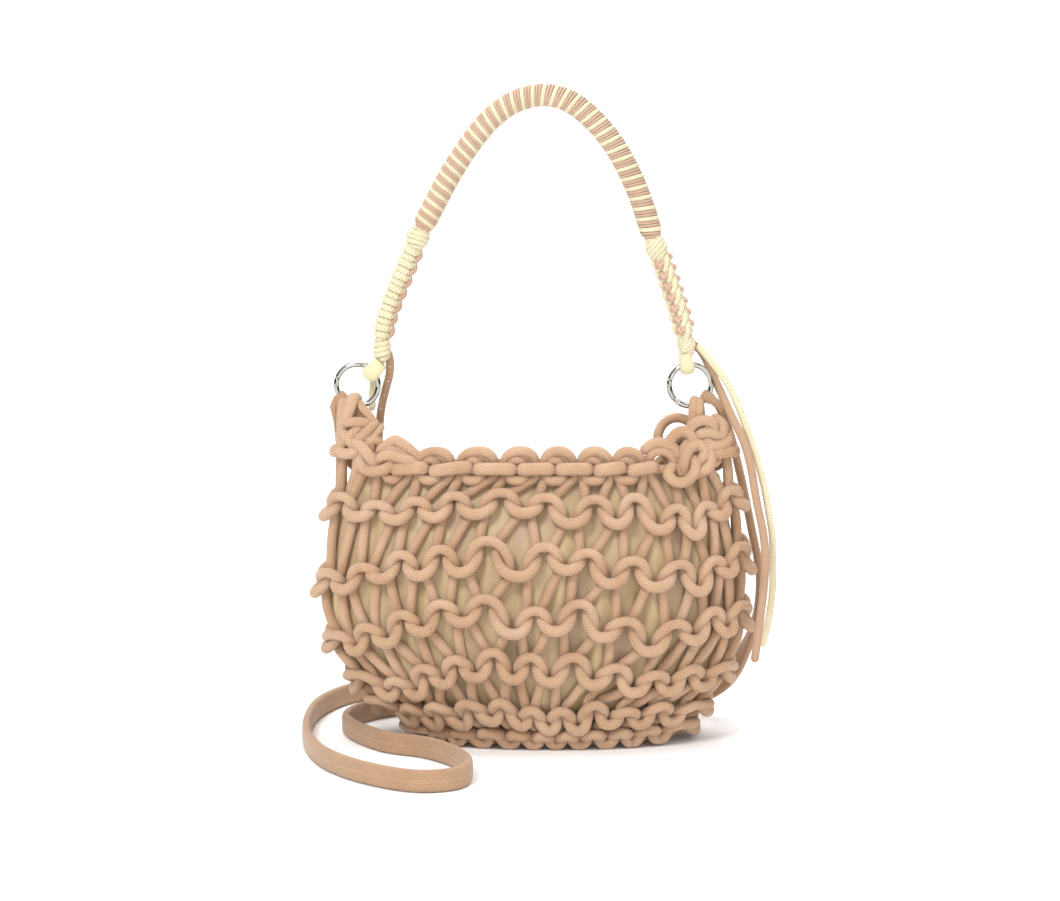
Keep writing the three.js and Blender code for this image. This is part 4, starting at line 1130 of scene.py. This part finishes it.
def make_braid(side):
    start, end = HANDLE_HALVES[side]["knot"], HANDLE_HALVES[side]["braid"]
    pitch = (end - start) / BRAID_UNITS
    cords = {"cream": Strands(10), "pink": Strands(10)}
    core(cords["cream"], side_along(side, start - BRAID_CORE_END),
         side_along(side, end + BRAID_CORE_END), BRAID_CORE)
    for unit_index in range(BRAID_UNITS):
        middle = start + pitch * (unit_index + 0.5)
        for colour, low, high, azimuth_from, azimuth_to, *sizes, sides in BRAID_STITCHES[side]:
            for turned in (0, 180)[:sides]:
                stitch(cords[colour], side_along(side, middle + low * pitch),
                       side_along(side, middle + high * pitch), azimuth_from + turned,
                       azimuth_to + turned, *sizes)
    cords["cream"].build(f"braid_cream_{side}", CREAM, "cream", f"braid_{side}")
    cords["pink"].build(f"braid_pink_{side}", PINK_FINE, "braid")


make_wraps()
make_braid("left")
make_braid("right")


# Cream loops through the rings, and the strap's own folded ends
LOOPS = (
    # piece, ring, angle, width, thickness, leg length, material, slot, solid, swell
    ("cream_loop_left", RING_LEFT_X, LOOP_LEFT_ANGLE, 9.2, 5.0, 8.5, CREAM_SMOOTH, "cream",
     "loop_left", 0.3),
    ("cream_loop_right", RING_RIGHT_X, LOOP_RIGHT_ANGLE, 8.2, 5.0, 8.0, CREAM_SMOOTH, "cream",
     "loop_right", 0.26),
    ("strap_end_left", RING_LEFT_X, 218.0, 7.5, 2.6, 3.6, STRAP, "strap", "strap_loop_left", 0.0),
    ("strap_end_right", RING_RIGHT_X, 326.0, 7.5, 2.6, 3.6, STRAP, "strap", "strap_loop_right", 0.0),
)
LOOP_SIDES, LOOP_STEP, SWELL_PLACE, SWELL_REACH = 20, 0.5, -1.0, 5.5


def ring_loop(name, ring_x, angle, width, thickness, leg_length, material, slot, node, swell):
    """A folded flat cord round the wire; swell widens it there by that share."""
    turn = math.radians(angle)
    outwards = np.array([math.cos(turn), 0, math.sin(turn)])
    along = np.array([-math.sin(turn), 0, math.cos(turn)])
    wire = np.array(on_ring(ring_x, angle))
    bend = 0.5 * RING_WIRE + GAP + 0.5 * thickness
    points = [wire + outwards * leg_length + np.array([0, -bend, 0])]
    for k in range(9):
        around = math.pi * k / 8
        points.append(wire - outwards * bend * math.sin(around) - np.array([0, bend * math.cos(around), 0]))
    points.append(wire + outwards * leg_length + np.array([0, bend, 0]))
    line = even(curve_through(points), LOOP_STEP) * MM
    outline = oval(LOOP_SIDES, 0.5 * width * MM, 0.5 * thickness * MM)
    outlines = np.repeat(outline[None], len(line), 0)
    out = (line / MM - wire) @ outwards
    outlines[..., 0] *= (1 + swell * np.exp(-((out - SWELL_PLACE) / SWELL_REACH) ** 2))[:, None]
    tangents = unit(np.gradient(line, axis=0))
    first = np.broadcast_to(along, tangents.shape)
    strand = Strands()
    strand.add(line, 1.0, outline=outlines, frames=(tangents, first, np.cross(tangents, first)),
               rounded=False)
    strand.build(name, material, slot, node)


for loop_row in LOOPS:
    ring_loop(*loop_row)


# Rings: round wire, with a gate on a hinge pin and a thin gap at the latch
HINGES = (
    # side, middle of the ring, hinge and latch angles
    ("left", RING_LEFT_X, 68.0, 160.0),
    ("right", RING_RIGHT_X, 231.0, 165.0),
)
LATCH_GAP, EAR_TURN, TONGUE_TURN, GATE_TURN = 0.6, 7.0, 6.0, 10.2
EAR_OFFSET, EAR_THICKNESS, TONGUE_THICKNESS = 1.42, 0.75, 1.3
EYE_HEIGHT, PIN_RADIUS, PIN_LENGTH, END_BEVEL = 4.1, 0.75, 4.3, 0.86
JOINT_LAP, TONGUE_SHARE = 2, 0.94
WIRE_SIDES, WIRE_STEP = 20, 2.5


def wire(strand, ring_x, start, end, depth=RING_WIRE, height=RING_WIRE, y=0.0):
    """A length of the ring between two angles; its ends are flat with a small bevel."""
    angles = np.linspace(start, end, max(8, int(abs(end - start) / WIRE_STEP)))
    line = np.array([on_ring(ring_x, a) for a in angles]) * MM
    line[:, 1] += y * MM
    outline = oval(WIRE_SIDES, 0.5 * depth, 0.5 * height) * MM
    size = np.ones(len(line))
    size[[0, -1]] = END_BEVEL
    strand.add(line, size, hint=(0, 1, 0), outline=outline, rounded=False)


def make_ring(side, ring_x, hinge, latch):
    way = 1 if latch > hinge else -1
    fixed = Strands(WIRE_SIDES)
    wire(fixed, ring_x, latch + way * LATCH_GAP, hinge + way * (360.0 - EAR_TURN))
    for y in (-EAR_OFFSET, EAR_OFFSET):
        wire(fixed, ring_x, hinge - way * (EAR_TURN + JOINT_LAP), hinge + way * EAR_TURN,
             EAR_THICKNESS, EYE_HEIGHT, y)
    eye = np.array(on_ring(ring_x, hinge))
    pin = np.array([eye + [0, share * PIN_LENGTH, 0] for share in (-0.5, 0, 0.5)])
    fixed.add(pin * MM, PIN_RADIUS * MM, rounded=False)
    fixed.build(f"ring_wire_{side}", METAL, "metal", f"ring_{side}")
    gate = Strands(WIRE_SIDES)
    wire(gate, ring_x, hinge + way * GATE_TURN, latch - way * LATCH_GAP)
    wire(gate, ring_x, hinge - way * TONGUE_TURN, hinge + way * (GATE_TURN + JOINT_LAP),
         TONGUE_THICKNESS, TONGUE_SHARE * RING_WIRE)
    gate.build(f"gate_wire_{side}", METAL, "metal", f"gate_{side}", body=f"gate_{side}")


for hinge_row in HINGES:
    make_ring(*hinge_row)


# Tabs of cord that hold the rings on the rim's corners
TAB_RADIUS, TAB_STEP, BAND_FLATNESS = 3.5, 1.6, 0.72


def tab(side, cords, bands=()):
    """Cords through the points given, and broad flat bands given with their radius."""
    strand = Strands()
    for points in cords:
        strand.lay(points, TAB_STEP, TAB_RADIUS)
    for radius, points in bands:
        strand.lay(points, TAB_STEP, radius, hint=(1, 0, 0), outline=oval(16, 1.0, BAND_FLATNESS))
    strand.build(f"tab_cord_{side}", PINK, "cord", f"tab_{side}")


# Over the left ring, down the front and up the back; the last fills the middle of the knot
BANDS_LEFT = (
    (4.8, ((-124.5, 5.5, 226), (-124, 6, 235), (-124.2, 3, 241.4), (-125, -2, 242.4),
           (-127, -6.4, 238.5), (-129.4, -7, 231.5), (-131, -5, 225))),
    (3.0, ((-121, -3.5, 239), (-117.5, -6.5, 234.5), (-113.6, -6.8, 230), (-110.6, -6.4, 224),
           (-108.6, -5.6, 216), (-108, -4.5, 208))),
    (3.3, ((-106.5, -5, 222), (-109.5, -8, 218.4), (-113.5, -9, 214.6), (-117, -7, 210))),
    (5.5, ((-122, -1, 205), (-120.5, -1.5, 215), (-121, -1.5, 226), (-123, 0, 232))),
)
TAB_LEFT = (
    ((-134.3, -4.6, 204), (-133.8, -5.5, 214), (-133.4, -5.6, 225), (-133.2, -5, 234),
     (-132.8, -3, 239.5), (-131.5, 1, 241.5)),
    ((-132.5, -3, 225.4), (-129, -7.8, 226), (-123, -9.4, 226.4), (-117, -8.2, 225.6),
     (-113.5, -4.5, 223)),
    ((-120, -7, 223), (-124, -8.8, 219.8), (-128.5, -8.4, 215.2), (-131.5, -5, 210.6)),
    ((-110.5, -6, 225), (-113.8, -9.2, 221.6), (-118, -10.6, 217.4), (-122, -10, 212.8),
     (-124.5, -6, 208)),
    ((-121.5, -6, 205), (-116, -9.4, 210.5), (-111.5, -9.4, 214), (-107.5, -8, 212), (-106, -5, 206)),
    ((-126, 5, 205), (-122, 8, 215), (-117, 8, 224), (-118, 6, 232)),
    ((-130, 5, 206), (-128, 7, 216), (-125, 7, 226), (-124.5, 5.5, 233)),
)
TAB_RIGHT = (
    ((111, -5, 216), (111.2, -6.2, 224), (111.6, -6.8, 231), (112, -6, 237), (112.6, -2, 240),
     (113, 2.5, 239.4), (113.5, 5.8, 234), (115, 5, 222), (118, 3, 210)),
    ((115, -4.6, 214), (115.2, -6.2, 224), (115.6, -6.6, 231), (116, -5.8, 236.4), (116.2, -2, 239.2),
     (116.4, 2.5, 238.6), (117, 5.4, 233), (118, 5, 222), (120, 3, 210)),
    ((90, 6, 206), (88, 9, 214), (90.8, 12, 221), (96.6, 13, 225.4), (103.3, 12, 226.4), (110, 9, 224),
     (116, 8, 220)),
)
tab("left", TAB_LEFT, BANDS_LEFT)
tab("right", TAB_RIGHT)


# Floor that curves up into a wall far behind, and lights, in metres
FLOOR_HALF_WIDTH, FLOOR_FRONT, CURVE_START, CURVE_RADIUS, WALL_TOP = 4.0, -3.0, 1.6, 1.2, 3.0
FLOOR_COLOUR, FLOOR_ROUGHNESS, FLOOR_GLOSS = (0.97, 0.97, 0.97, 1), 0.9, 0.1


def make_stage():
    profile = [(FLOOR_FRONT, 0.0)]
    profile += [(CURVE_START + CURVE_RADIUS * math.sin(a), CURVE_RADIUS - CURVE_RADIUS * math.cos(a))
                for a in np.linspace(0, math.pi / 2, 16)]
    profile += [(CURVE_START + CURVE_RADIUS, WALL_TOP)]
    vertices = [(x, y, z) for y, z in profile for x in (-FLOOR_HALF_WIDTH, FLOOR_HALF_WIDTH)]
    faces = [(2 * k, 2 * k + 1, 2 * k + 3, 2 * k + 2) for k in range(len(profile) - 1)]
    mesh = bpy.data.meshes.new("floor")
    mesh.from_pydata(vertices, [], faces)
    mesh.polygons.foreach_set("use_smooth", [True] * len(mesh.polygons))
    material, _, shader = new_material("floor_white")
    shader.inputs["Base Color"].default_value = FLOOR_COLOUR
    shader.inputs["Roughness"].default_value = FLOOR_ROUGHNESS
    shader.inputs["Specular IOR Level"].default_value = FLOOR_GLOSS
    mesh.materials.append(material)
    floor = bpy.data.objects.new("floor", mesh)
    bpy.context.scene.collection.objects.link(floor)


def area_light(name, place, target, size, power):
    light = bpy.data.lights.new(name, "AREA")
    light.shape = "DISK"
    light.size = size
    light.energy = power
    holder = bpy.data.objects.new(name, light)
    holder.location = place
    way = Vector(target) - Vector(place)
    holder.rotation_euler = way.to_track_quat("-Z", "Y").to_euler()
    bpy.context.scene.collection.objects.link(holder)


make_stage()
LIGHTS = (
    # name, place, target, diameter and power
    ("key_light", (-1.1, -1.9, 2.3), (0, 0, 0.2), 1.0, 55),
    ("fill_light", (1.8, -1.6, 1.4), (0, 0, 0.15), 2.0, 12),
    ("top_light", (0.1, 0.7, 2.6), (0, 0.5, 0), 2.4, 56),
)
for light_row in LIGHTS:
    area_light(*light_row)

ROOM_LIGHT, FRONT_LIGHT = 0.6, 1.7
# By height from straight down to straight up: bright floor, dark band, bright ceiling
ROOM_BANDS = (
    (0.3, (0.9, 0.9, 0.9)), (0.42, (0.05, 0.05, 0.05)), (0.6, (0.1, 0.1, 0.1)), (0.72, (1, 1, 1)))
FRONT_GLOW = ((0.86, (0, 0, 0)), (0.96, (1, 1, 1)))


def make_world():
    """Studio surroundings: bright above and in front, with a dark band for the metal."""
    world = bpy.data.worlds.new("studio")
    world.use_nodes = True
    tree = world.node_tree
    place = tree.nodes.new("ShaderNodeTexCoord")
    parts = tree.nodes.new("ShaderNodeSeparateXYZ")
    tree.links.new(place.outputs["Generated"], parts.inputs[0])
    height = math_node(tree, "MULTIPLY_ADD", parts.outputs[2], 0.5, 0.5)
    around = ramp(tree, height, ROOM_BANDS)
    forward = math_node(tree, "MULTIPLY", parts.outputs[1], -1.0)
    glow = ramp(tree, forward, FRONT_GLOW)
    light = math_node(tree, "MULTIPLY", around, ROOM_LIGHT)
    light = math_node(tree, "MULTIPLY_ADD", glow, FRONT_LIGHT, light)
    tree.links.new(light, tree.nodes["Background"].inputs[0])
    tree.nodes["Background"].inputs[1].default_value = 1.0
    bpy.context.scene.world = world


make_world()
bpy.context.scene.view_settings.view_transform = "Standard"
